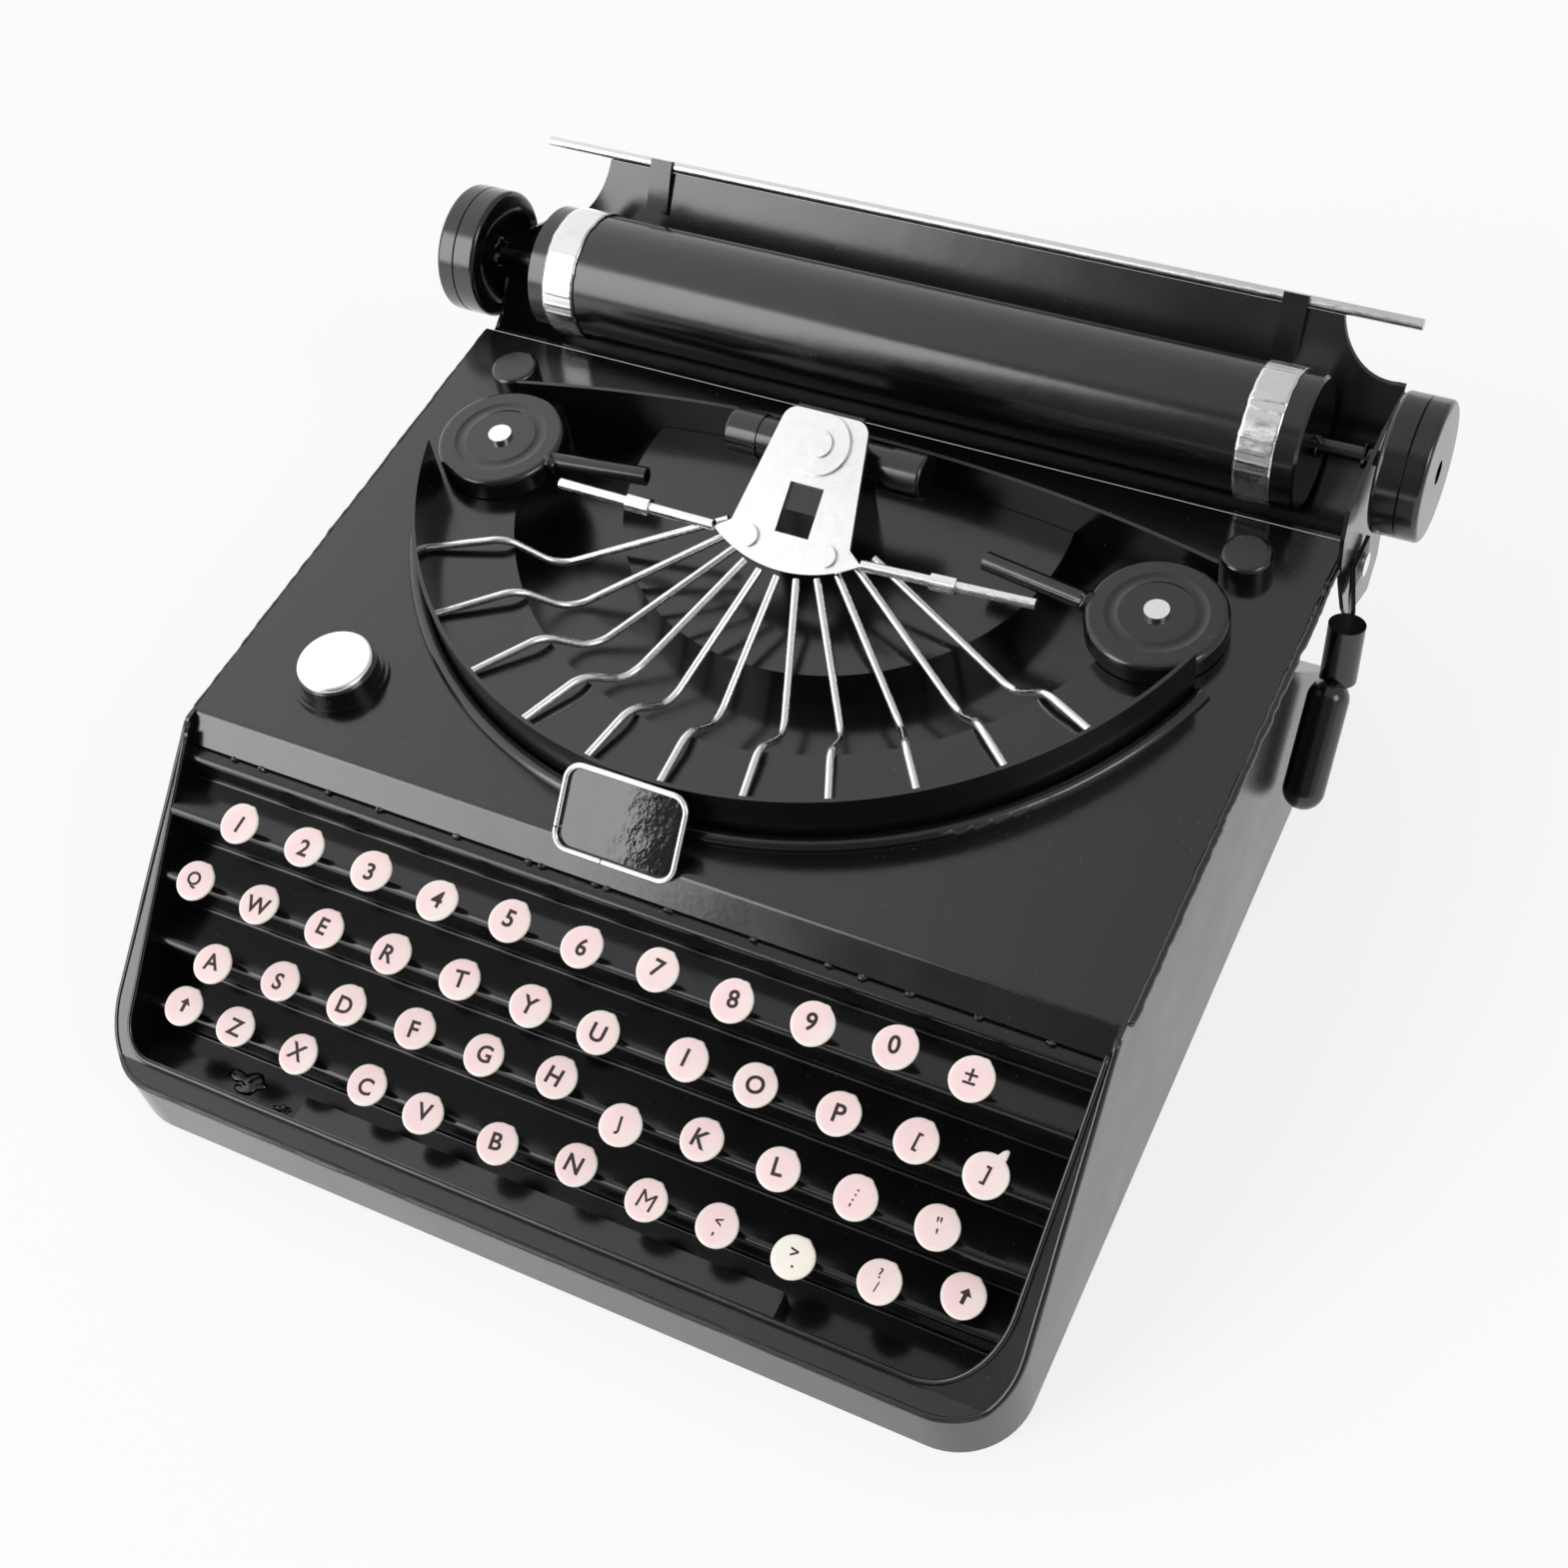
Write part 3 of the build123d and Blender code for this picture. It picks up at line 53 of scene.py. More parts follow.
# Studio
softbox_azimuth = radians(-129.0)
softbox_elevation = radians(29.0)
softbox_distance = 2.5
softbox_size = (1.13, 1.92)
softbox_power = 30.5
sky_left_level = 1.36
sky_right_level = 0.56
front_level = 0.18
front_direction = (0.08, -0.9, 0.42)
sky_fall = (-0.6, -0.12)
front_fall = (0.70, 0.82)
side_light_azimuth = radians(-12.0)
side_light_elevation = radians(38.0)
side_light_size = (0.9, 0.9)
side_light_power = 12.0
floor_half = 3.0
floor_shade = 0.86
floor_roughness = 0.9
floor_white_share = 0.8
# Painted light on the floor: its glow in reflections is stronger at the left than at the right
floor_left_painted_glow = 1.6
floor_right_painted_glow = 1.02
floor_painted_glow_fall = (-0.1, 0.09)

scene = bpy.context.scene
scene.view_settings.view_transform = "Standard"


def new_group(name, inputs, outputs):
    """An empty shader node group; an input is (name, kind, default) and an output (name, kind)."""
    group = bpy.data.node_groups.new(name, "ShaderNodeTree")
    kinds = {"value": "NodeSocketFloat", "colour": "NodeSocketColor"}
    for socket, kind, default in inputs:
        item = group.interface.new_socket(name=socket, in_out="INPUT", socket_type=kinds[kind])
        item.default_value = default
    for socket, kind in outputs:
        group.interface.new_socket(name=socket, in_out="OUTPUT", socket_type=kinds[kind])
    return group, group.nodes.new("NodeGroupInput"), group.nodes.new("NodeGroupOutput")


def add_node(tree, kind, **settings):
    """A new node with its properties set by name."""
    node = tree.nodes.new(kind)
    for name, value in settings.items():
        setattr(node, name, value)
    return node


def maths(tree, operation, first, second, clamp=False):
    """One Math node; each operand is a number or another node's output. Returns its output."""
    node = add_node(tree, "ShaderNodeMath", operation=operation, use_clamp=clamp)
    for place, operand in enumerate((first, second)):
        if isinstance(operand, (int, float)):
            node.inputs[place].default_value = operand
        else:
            tree.links.new(operand, node.inputs[place])
    return node.outputs[0]


def noise(tree, coordinates, scale, detail, roughness, stretch=None):
    """Noise at a scale in features per metre, on coordinates that may be stretched by a factor per axis."""
    if stretch is not None:
        mapping = add_node(tree, "ShaderNodeMapping")
        mapping.inputs["Scale"].default_value = stretch
        tree.links.new(coordinates, mapping.inputs["Vector"])
        coordinates = mapping.outputs["Vector"]
    node = add_node(tree, "ShaderNodeTexNoise", noise_dimensions="3D")
    node.inputs["Scale"].default_value = scale
    node.inputs["Detail"].default_value = detail
    node.inputs["Roughness"].default_value = roughness
    tree.links.new(coordinates, node.inputs["Vector"])
    return node.outputs["Fac"]


def ramp(tree, value, low, high, start=0.0, end=1.0):
    """Maps value from low..high to start..end, held at both ends."""
    node = add_node(tree, "ShaderNodeMapRange", clamp=True)
    for name, number in (("From Min", low), ("From Max", high), ("To Min", start), ("To Max", end)):
        if isinstance(number, (int, float)):
            node.inputs[name].default_value = number
        else:
            tree.links.new(number, node.inputs[name])
    tree.links.new(value, node.inputs["Value"])
    return node.outputs["Result"]


def mix_colour(tree, share, first, second):
    """Mixes two colours, each a colour or an output, by a share that is an output."""
    node = add_node(tree, "ShaderNodeMix", data_type="RGBA")
    tree.links.new(share, node.inputs[0])
    for place, colour in ((6, first), (7, second)):
        if isinstance(colour, tuple):
            node.inputs[place].default_value = (*colour, 1.0)
        else:
            tree.links.new(colour, node.inputs[place])
    return node.outputs[2]


# Nearly all of a noise lies between these two values
noise_span = (0.3, 0.7)

# Lacquer: noise in features per metre, and the noise values over which each mark fades in
black = (0.004, 0.004, 0.0045, 1.0)
peel_scale = 900.0
peel_height = 0.55
wave_scale = 130.0
wave_height = 2.0
gloss_drift_scale = 45.0
gloss_drift = (-0.02, 0.04)
speck_scale = 1500.0
speck_fade = (0.735, 0.78)
speck_patch_scale = 70.0
speck_patch_fade = (0.45, 0.62)
hair_stretch = (90.0, 2400.0, 2400.0)
hair_fade = (0.755, 0.79)
hair_patch_fade = (0.5, 0.62)
hair_strength = 0.5
dust_colour = (0.32, 0.32, 0.33)
dust_cover = 0.5
dust_dulling = 0.3


def lacquer_group():
    """Sprayed lacquer: fine orange peel, a soft drift in gloss, dust specks and hair scratches."""
    group, source, sink = new_group(
        "lacquer_film",
        (
            ("Tone", "colour", black),
            ("Gloss", "value", 0.14),
            ("Peel", "value", 1.0),
            ("Dust", "value", 1.0),
        ),
        (("Color", "colour"), ("Roughness", "value"), ("Height", "value")),
    )
    place = add_node(group, "ShaderNodeTexCoord").outputs["Object"]
    peel = noise(group, place, peel_scale, detail=2.0, roughness=0.55)
    wave = noise(group, place, wave_scale, detail=2.0, roughness=0.5)
    drift = noise(group, place, gloss_drift_scale, detail=3.0, roughness=0.6)
    speck = noise(group, place, speck_scale, detail=1.0, roughness=0.4)
    patch = noise(group, place, speck_patch_scale, detail=1.0, roughness=0.5)
    hair = noise(group, place, 1.0, detail=1.0, roughness=0.4, stretch=hair_stretch)
    specks = maths(group, "MULTIPLY", ramp(group, speck, *speck_fade), ramp(group, patch, *speck_patch_fade))
    hairs = maths(group, "MULTIPLY", ramp(group, hair, *hair_fade), ramp(group, drift, *hair_patch_fade))
    marks = maths(group, "MAXIMUM", specks, maths(group, "MULTIPLY", hairs, hair_strength))
    marks = maths(group, "MULTIPLY", marks, source.outputs["Dust"], clamp=True)
    cover = maths(group, "MULTIPLY", marks, dust_cover)
    colour = mix_colour(group, cover, source.outputs["Tone"], dust_colour)
    group.links.new(colour, sink.inputs["Color"])
    gloss = maths(group, "ADD", source.outputs["Gloss"], ramp(group, drift, *noise_span, *gloss_drift))
    gloss = maths(group, "ADD", gloss, maths(group, "MULTIPLY", marks, dust_dulling), clamp=True)
    group.links.new(gloss, sink.inputs["Roughness"])
    peel = maths(group, "MULTIPLY", peel, peel_height)
    height = maths(group, "ADD", peel, maths(group, "MULTIPLY", wave, wave_height))
    height = maths(group, "MULTIPLY", height, source.outputs["Peel"])
    group.links.new(height, sink.inputs["Height"])
    return group


# Silver: the same for its drawn lines, tarnish and pits
drawn_stretch = (500.0, 500.0, 2600.0)
drawn_gloss = (-0.06, 0.08)
tarnish_scale = 160.0
tarnish_fade = (0.45, 0.75)
tarnish_cover = 0.28
tarnish_height = 2.0
tarnish_colour = (0.62, 0.62, 0.63)
pit_scale = 1900.0
pit_fade = (0.7, 0.78)
pit_cover = 0.5
pit_colour = (0.25, 0.25, 0.25)


def silver_group():
    """Bright plated metal: fine drawn lines along one way, a faint tarnish drift and small pits."""
    group, source, sink = new_group(
        "silver_plating",
        (
            ("Tone", "colour", (0.9, 0.9, 0.91, 1.0)),
            ("Gloss", "value", 0.24),
            ("Pits", "value", 1.0),
        ),
        (("Color", "colour"), ("Roughness", "value"), ("Height", "value")),
    )
    place = add_node(group, "ShaderNodeTexCoord").outputs["Object"]
    grain = noise(group, place, 1.0, detail=2.0, roughness=0.5, stretch=drawn_stretch)
    drift = noise(group, place, tarnish_scale, detail=3.0, roughness=0.6)
    pit = noise(group, place, pit_scale, detail=1.0, roughness=0.4)
    pits = maths(group, "MULTIPLY", ramp(group, pit, *pit_fade), source.outputs["Pits"], clamp=True)
    tarnish = ramp(group, drift, *tarnish_fade, 0.0, tarnish_cover)
    colour = mix_colour(group, tarnish, source.outputs["Tone"], tarnish_colour)
    colour = mix_colour(group, maths(group, "MULTIPLY", pits, pit_cover), colour, pit_colour)
    group.links.new(colour, sink.inputs["Color"])
    lines = ramp(group, grain, *noise_span, *drawn_gloss)
    gloss = maths(group, "ADD", source.outputs["Gloss"], lines, clamp=True)
    group.links.new(gloss, sink.inputs["Roughness"])
    height = maths(group, "ADD", grain, maths(group, "MULTIPLY", drift, tarnish_height))
    group.links.new(height, sink.inputs["Height"])
    return group


lacquer_film = lacquer_group()
silver_plating = silver_group()


def surfaced_material(name, group, bump, metallic=0.0, ior=1.5, **values):
    """A Principled material fed by a group with its own values; bump is its relief's height in metres."""
    material = bpy.data.materials.new(name)
    material.use_nodes = True
    tree = material.node_tree
    shader = tree.nodes["Principled BSDF"]
    shader.inputs["Metallic"].default_value = metallic
    shader.inputs["IOR"].default_value = ior
    film = add_node(tree, "ShaderNodeGroup", node_tree=group)
    for socket, value in values.items():
        film.inputs[socket].default_value = value
    tree.links.new(film.outputs["Color"], shader.inputs["Base Color"])
    tree.links.new(film.outputs["Roughness"], shader.inputs["Roughness"])
    bumps = add_node(tree, "ShaderNodeBump")
    bumps.inputs["Strength"].default_value = 1.0
    bumps.inputs["Distance"].default_value = bump
    tree.links.new(film.outputs["Height"], bumps.inputs["Height"])
    tree.links.new(bumps.outputs["Normal"], shader.inputs["Normal"])
    return material


lacquer_ior = 1.66
step_ior = 1.5
enamel_ior = 1.5
ink_ior = 1.45
ink_tone = (0.022, 0.012, 0.014, 1.0)


def lacquer(name, bump, gloss, dust, ior=lacquer_ior, tone=black):
    """A lacquer with its own roughness and share of dust."""
    return surfaced_material(name, lacquer_film, bump, ior=ior, Tone=tone, Gloss=gloss, Peel=1.0, Dust=dust)


def silver(name, bump, tone, gloss, pits):
    """A silver plating with its own tone, roughness and share of pits."""
    return surfaced_material(name, silver_plating, bump, metallic=1.0, Tone=tone, Gloss=gloss, Pits=pits)


deck_lacquer = lacquer("deck_lacquer", 14e-6, 0.16, 0.35)
wall_lacquer = lacquer("wall_lacquer", 12e-6, 0.26, 0.3)
step_lacquer = lacquer("step_lacquer", 14e-6, 0.16, 0.35, step_ior)
fitting_lacquer = lacquer("fitting_lacquer", 10e-6, 0.18, 0.3)
platen_lacquer = lacquer("platen_lacquer", 12e-6, 0.18, 0.3)
plate_lacquer = lacquer("plate_lacquer", 100e-6, 0.12, 0.3)
strip_lacquer = lacquer("strip_lacquer", 12e-6, 0.45, 0.3)
weld_lacquer = lacquer("weld_lacquer", 40e-6, 0.12, 0.4)
key_enamel = lacquer("key_enamel", 4e-6, 0.3, 0.2, enamel_ior)
mark_ink = lacquer("mark_ink", 3e-6, 0.42, 0.35, ink_ior, ink_tone)
silver_wire = silver("silver_wire", 6e-6, (0.92, 0.92, 0.93, 1.0), 0.22, 0.6)
silver_plate = silver("silver_plate", 8e-6, (0.76, 0.76, 0.765, 1.0), 0.36, 0.8)
silver_foil = silver("silver_foil", 6e-6, (0.74, 0.74, 0.75, 1.0), 0.26, 0.4)
silver_rod = silver("silver_rod", 6e-6, (0.67, 0.67, 0.68, 1.0), 0.3, 0.5)

# Key enamel: pink in the middle, cream to the edge and towards the typist; a white key is cream all over
key_pink = (0.90, 0.675, 0.68)
key_cream = (0.91, 0.855, 0.78)
edge_fade = (0.84, 1.0)
typist_fade = (0.4, 0.05)
typist_cream = 0.35
blush_scale = 90.0
blush_fade = (0.45, 0.65)
blush_cream = 0.35
enamel = key_enamel.node_tree
edge = add_node(enamel, "ShaderNodeAttribute", attribute_name="edge").outputs["Fac"]
upper = add_node(enamel, "ShaderNodeAttribute", attribute_name="upper").outputs["Fac"]
white = add_node(enamel, "ShaderNodeAttribute", attribute_name="white").outputs["Fac"]
enamel_place = add_node(enamel, "ShaderNodeTexCoord").outputs["Object"]
blush = noise(enamel, enamel_place, blush_scale, detail=2.0, roughness=0.5)
rim_cream = ramp(enamel, edge, *edge_fade)
cream = maths(enamel, "ADD", rim_cream, ramp(enamel, upper, *typist_fade, 0.0, typist_cream))
cream = maths(enamel, "ADD", cream, ramp(enamel, blush, *blush_fade, 0.0, blush_cream))
cream = maths(enamel, "MAXIMUM", cream, white, clamp=True)
enamel_tone = mix_colour(enamel, cream, key_pink, key_cream)
enamel_film = next(node for node in enamel.nodes if node.type == "GROUP")
enamel.links.new(enamel_tone, enamel_film.inputs["Tone"])

# Nameplate: smooth at the left, lumpy at the right, where its lacquer sags a little; ranges of x in metres
lump_range = (-0.006, 0.005)
lump_share = (0.2, 1.2)
sag_range = (-0.001, 0.012)
plate_sag = 6.0
plate = plate_lacquer.node_tree
plate_place = add_node(plate, "ShaderNodeSeparateXYZ")
plate.links.new(add_node(plate, "ShaderNodeTexCoord").outputs["Object"], plate_place.inputs[0])
plate_x = plate_place.outputs["X"]
plate_film = next(node for node in plate.nodes if node.type == "GROUP")
plate_bump = next(node for node in plate.nodes if node.type == "BUMP")
lumpy = ramp(plate, plate_x, *lump_range, *lump_share)
lumps = maths(plate, "MULTIPLY", plate_film.outputs["Height"], lumpy)
sag = ramp(plate, plate_x, *sag_range)
sag = maths(plate, "MULTIPLY", maths(plate, "MULTIPLY", sag, sag), plate_sag)
plate.links.new(maths(plate, "SUBTRACT", lumps, sag), plate_bump.inputs["Height"])

# Pieces of this file: sizes in millimetres
across_way = np.array((1.0, 0.0, 0.0))
key_tilt = radians(15.0)
slope_way = np.array((0.0, cos(key_tilt), sin(key_tilt)))
disc_normal = np.array((0.0, -sin(key_tilt), cos(key_tilt)))


def node_points(name):
    """Corners of a CAD node's mesh, in millimetres."""
    mesh = nodes[name].data
    corners = np.empty(3 * len(mesh.vertices))
    mesh.vertices.foreach_get("co", corners)
    return corners.reshape(-1, 3) / mm


def new_piece(name, points, faces, material, body, attributes=None):
    """A smooth mesh piece from points in millimetres and faces, with a finish, which rides on a body."""
    mesh = bpy.data.meshes.new(name)
    mesh.from_pydata((points * mm).tolist(), [], faces)
    mesh.polygons.foreach_set("use_smooth", np.ones(len(mesh.polygons), bool))
    for title, values in (attributes or {}).items():
        layer = mesh.attributes.new(title, "FLOAT", "POINT")
        layer.data.foreach_set("value", values.astype(np.float32))
    mesh.materials.append(material)
    mesh.update()
    piece = bpy.data.objects.new(name, mesh)
    scene.collection.objects.link(piece)
    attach(piece, body)
    return piece


def facing_out(points, faces):
    """Whether faces point outwards: the sum of their signed volumes about the origin isn't negative."""
    first, second, third = (points[faces[:, place]] for place in (0, 1, 2))
    volume = np.einsum("ij,ij->i", first, np.cross(second, third)).sum()
    if faces.shape[1] == 4:
        fourth = points[faces[:, 3]]
        volume += np.einsum("ij,ij->i", first, np.cross(third, fourth)).sum()
    return volume >= 0


def closed_rings(name, points, material, body, slot, **attributes):
    """A piece through stacked rings of points, shape (solids, rings, sides, 3).

    Quads join neighbouring rings, and a fan to the ring's middle closes each solid's first and last ring.
    """
    solids, rings, sides, _ = points.shape
    ends = (0, rings - 1)
    number = np.arange(solids * rings * sides).reshape(solids, rings, sides)
    after = np.roll(number, -1, axis=2)
    middle = number.size + np.arange(2 * solids).reshape(solids, 2, 1)
    quads = np.stack((number[:, :-1], after[:, :-1], after[:, 1:], number[:, 1:]), -1).reshape(-1, 4)
    first_fan = np.stack(np.broadcast_arrays(middle[:, 0], after[:, 0], number[:, 0]), -1).reshape(-1, 3)
    last_fan = np.stack(np.broadcast_arrays(middle[:, 1], number[:, -1], after[:, -1]), -1).reshape(-1, 3)
    corners = np.concatenate((points.reshape(-1, 3), points[:, ends].mean(axis=2).reshape(-1, 3)))
    step = 1 if facing_out(corners, quads) else -1
    faces = sum((group[:, ::step].tolist() for group in (quads, first_fan, last_fan)), [])
    layers = {}
    for title, values in attributes.items():
        values = np.broadcast_to(values, (solids, rings, sides))
        layers[title] = np.concatenate((values.ravel(), values[:, ends].mean(axis=2).ravel()))
    return new_piece(name, corners, faces, material, body, layers)


def wrapped_sections(points):
    """Corners and quads of closed sections, shape (sections, sides, 3); the last section meets the first."""
    sections, sides, _ = points.shape
    number = np.arange(sections * sides).reshape(sections, sides)
    beside = np.roll(number, -1, axis=1)
    ahead = np.roll(number, -1, axis=0)
    diagonal = np.roll(beside, -1, axis=0)
    quads = np.stack((number, beside, diagonal, ahead), -1).reshape(-1, 4)
    corners = points.reshape(-1, 3)
    if not facing_out(corners, quads):
        quads = quads[:, ::-1]
    return corners, quads


def wandering_line(count, reach, seed):
    """A smooth random line of count values about zero, which varies over reach steps."""
    values = np.random.default_rng(seed).normal(size=count + 2 * reach)
    window = np.hanning(2 * reach + 1)
    line = np.convolve(values, window / np.sqrt((window**2).sum()), "same")
    return line[reach:-reach]


# Key discs
key_radius = 4.0
disc_gap = 1.0
disc_sides = 72
nib_angle = radians(68.0)
nib_half_angle = 0.15
nib_usual_reach = 0.22
nib_long_reach = 1.7
nib_edge_power = 6
disc_lean = 0.045
oval_share = 0.012
three_sided_share = 0.008
white_key = 9

# Section of a disc from its middle over the rounded edge to the underside: (share of the radius, height)
disc_section = np.array(
    (
        (0.20, 0.05),
        (0.50, 0.04),
        (0.75, 0.02),
        (0.90, -0.02),
        (0.965, -0.09),
        (0.995, -0.22),
        (1.0, -0.40),
        (0.995, -0.58),
        (0.96, -0.72),
        (0.90, -0.78),
        (0.40, -0.80),
    )
)


def disc_places(name):
    """Middles of one row's key discs on their upper sides, from left to right.

    A gap in x parts two discs. A disc's middle lies half-way between its sides, and one radius up its slope
    from its lowest point; the nib is at the other side.
    """
    corners = node_points(name)
    order = np.argsort(corners[:, 0])
    breaks = np.flatnonzero(np.diff(corners[order, 0]) > disc_gap) + 1
    places = []
    for group in np.split(order, breaks):
        disc = corners[group]
        across = (disc[:, 0].min() + disc[:, 0].max()) / 2
        up = (disc @ slope_way).min() + key_radius
        top = (disc @ disc_normal).max()
        places.append(across * across_way + up * slope_way + top * disc_normal)
    return np.array(places)


def key_discs(name, places, leans, nibs, whites, seed):
    """One row of discs: radius = key radius, a little out of round, plus a nib at one angle.

    The section is turned about each disc's middle, and each disc leans a little its own way. Attributes hold
    the share of the radius, how far a point lies from the typist, and whether the key is a white one.
    """
    count = len(places)
    chance = np.random.default_rng(seed)
    phase = chance.uniform(0, 2 * pi, (count, 1))
    angle = np.linspace(0, 2 * pi, disc_sides, endpoint=False)
    swell = oval_share * np.sin(2 * angle + phase) + three_sided_share * np.sin(3 * angle + 2 * phase)
    outline = key_radius * (1 + swell)
    nib = nibs[:, None] * np.exp(-(((angle - nib_angle) / nib_half_angle) ** 4))
    share = disc_section[None, :, None, 0]
    radius = share * outline[:, None, :] + share**nib_edge_power * nib[:, None, :]
    across = radius * np.cos(angle)
    up = radius * np.sin(angle)
    tilt = leans[:, None, None, 0] * across + leans[:, None, None, 1] * up
    height = disc_section[None, :, None, 1] + tilt
    points = places[:, None, None, :] + across[..., None] * across_way
    points = points + up[..., None] * slope_way + height[..., None] * disc_normal
    side = 0.5 + 0.5 * np.sin(angle - nib_angle) * share
    attributes = {"edge": share, "white": whites[:, None, None], "upper": side}
    return closed_rings(name + "_discs", points, key_enamel, "housing", "key_enamel", **attributes)


# Printed marks on the discs
cap_height = 3.3
small_mark_height = 3.6
mark_lift = 0.055
mark_depth = 0.02
mark_weight = 0.022
mark_line_space = 0.55
mark_curve_steps = 5
mark_shift = 0.35
arrow_height = 2.9

# Marks that differ from the rest of their kind: (height, weight added to the strokes, space between lines)
own_mark_forms = {
    "M": (3.3, 0.0, 0.55),
    "\u00b1": (2.8, 0.007, 0.55),
    ":\n;": (3.4, 0.016, 0.72),
    "\"\n'": (2.9, 0.004, 0.55),
    "?\n/": (4.3, 0.012, 0.95),
}
arrow_outline = np.array(
    ((0, 0.5), (0.4, 0.05), (0.13, 0.05), (0.13, -0.5), (-0.13, -0.5), (-0.13, 0.05), (-0.4, 0.05))
)


def mesh_triangles(mesh):
    """Corners and triangles of a mesh as arrays."""
    corners = np.empty(3 * len(mesh.vertices))
    mesh.vertices.foreach_get("co", corners)
    mesh.calc_loop_triangles()
    triangles = np.empty(3 * len(mesh.loop_triangles), np.int32)
    mesh.loop_triangles.foreach_get("vertices", triangles)
    return corners.reshape(-1, 3), triangles.reshape(-1, 3)


def letter(text):
    """Corners and triangles of one printed mark, scaled to its height, about its own middle and flat."""
    usual_form = (small_mark_height if len(text) > 1 else cap_height, mark_weight, mark_line_space)
    height, weight, line_space = own_mark_forms.get(text, usual_form)
    curve = bpy.data.curves.new("mark", "FONT")
    curve.body = text
    curve.align_x = "CENTER"
    curve.space_line = line_space
    curve.extrude = mark_depth
    curve.offset = weight
    curve.resolution_u = mark_curve_steps
    holder = bpy.data.objects.new("mark", curve)
    mesh = bpy.data.meshes.new_from_object(holder)
    corners, triangles = mesh_triangles(mesh)
    bpy.data.objects.remove(holder)
    bpy.data.curves.remove(curve)
    bpy.data.meshes.remove(mesh)
    low, high = corners.min(axis=0), corners.max(axis=0)
    corners = (corners - (low + high) / 2) * height / (high[1] - low[1])
    corners[:, 2] = np.sign(corners[:, 2]) * mark_depth
    return corners, triangles


def arrow():
    """Corners and triangles of a plain arrow that points up: its outline, drawn out along z."""
    count = len(arrow_outline)
    rim = np.arange(count)
    level = np.full((count, 1), mark_depth)
    flat = arrow_outline * arrow_height
    corners = np.concatenate((np.hstack((flat, level)), np.hstack((flat, -level))))
    beside = np.roll(rim, -1)
    sides = np.stack((rim, rim + count, beside + count, beside), -1)
    mesh = bpy.data.meshes.new("arrow")
    mesh.from_pydata(corners.tolist(), [], [rim[::-1].tolist(), (rim + count).tolist(), *sides.tolist()])
    corners, triangles = mesh_triangles(mesh)
    bpy.data.meshes.remove(mesh)
    return corners, triangles[:, ::-1]


def printed_row(name, places, leans, marks, turns, seed):
    """The marks of one row as one piece; each lies on its disc, a little turned and off the middle."""
    chance = np.random.default_rng(seed)
    shifts = chance.uniform(-mark_shift, mark_shift, (len(places), 2))
    all_corners, all_triangles, count = [], [], 0
    for place, lean, mark, turn, shift in zip(places, leans, marks, turns, shifts):
        corners, triangles = arrow() if mark == "up" else letter(mark)
        cosine, sine = cos(radians(turn)), sin(radians(turn))
        across = corners[:, :1] * cosine - corners[:, 1:2] * sine + shift[0]
        up = corners[:, :1] * sine + corners[:, 1:2] * cosine + shift[1]
        height = corners[:, 2:] + mark_lift + lean[0] * across + lean[1] * up
        all_corners.append(place + across * across_way + up * slope_way + height * disc_normal)
        all_triangles.append(triangles + count)
        count += len(corners)
    faces = np.concatenate(all_triangles).tolist()
    corners = np.concatenate(all_corners)
    piece = new_piece(name + "_marks", corners, faces, mark_ink, "housing")
    piece.data.polygons.foreach_set("use_smooth", np.zeros(len(faces), bool))
    return piece


# Rows from the back: node, marks, turn of each mark in degrees
key_rows = (
    (
        "key_tops_number_row",
        ("1", "2", "3", "4", "5", "6", "7", "8", "9", "0", "\u00b1"),
        (-9, 0, 3, 0, -4, 2, -8, 8, 6, 10, 2),
    ),
    (
        "key_tops_upper_row",
        ("Q", "W", "E", "R", "T", "Y", "U", "I", "O", "P", "[", "]"),
        (-6, 3, -3, -4, 6, -4, -4, -3, 4, 2, -5, -6),
    ),
    (
        "key_tops_home_row",
        ("A", "S", "D", "F", "G", "H", "J", "K", "L", ":\n;", "\"\n'"),
        (9, 2, 0, 4, 3, -6, 8, -7, 6, -10, 8),
    ),
    (
        "key_tops_lower_row",
        ("up", "Z", "X", "C", "V", "B", "N", "M", "<\n,", ">\n.", "?\n/", "up"),
        (-4, -3, -6, 3, 6, 6, -4, -8, -4, 12, 5, -6),
    ),
)
for row, (name, marks, turns) in enumerate(key_rows):
    places = disc_places(name)
    nibs = np.full(len(places), nib_usual_reach)
    whites = np.zeros(len(places))
    if name == "key_tops_upper_row":
        nibs[-1] = nib_long_reach
    if name == "key_tops_lower_row":
        whites[white_key] = 1.0
    leans = np.random.default_rng(row + 5).uniform(-disc_lean, disc_lean, (len(places), 2))
    discs = key_discs(name, places, leans, nibs, whites, row)
    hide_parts(name)
    printed_row(name, places, leans, marks, turns, row + 10)

# Foil rings on the platen
foil_sides = 420
foil_ridges = 46
foil_edge_wander = 0.07
foil_ridge_height = 0.16
foil_ridge_width = 0.022
foil_thickness = 0.3
foil_steps = 14
foil_wander_reach = 9
foil_least_ridge = 0.2
foil_ridge_lean = 0.025
foil_edge_fade = 0.15


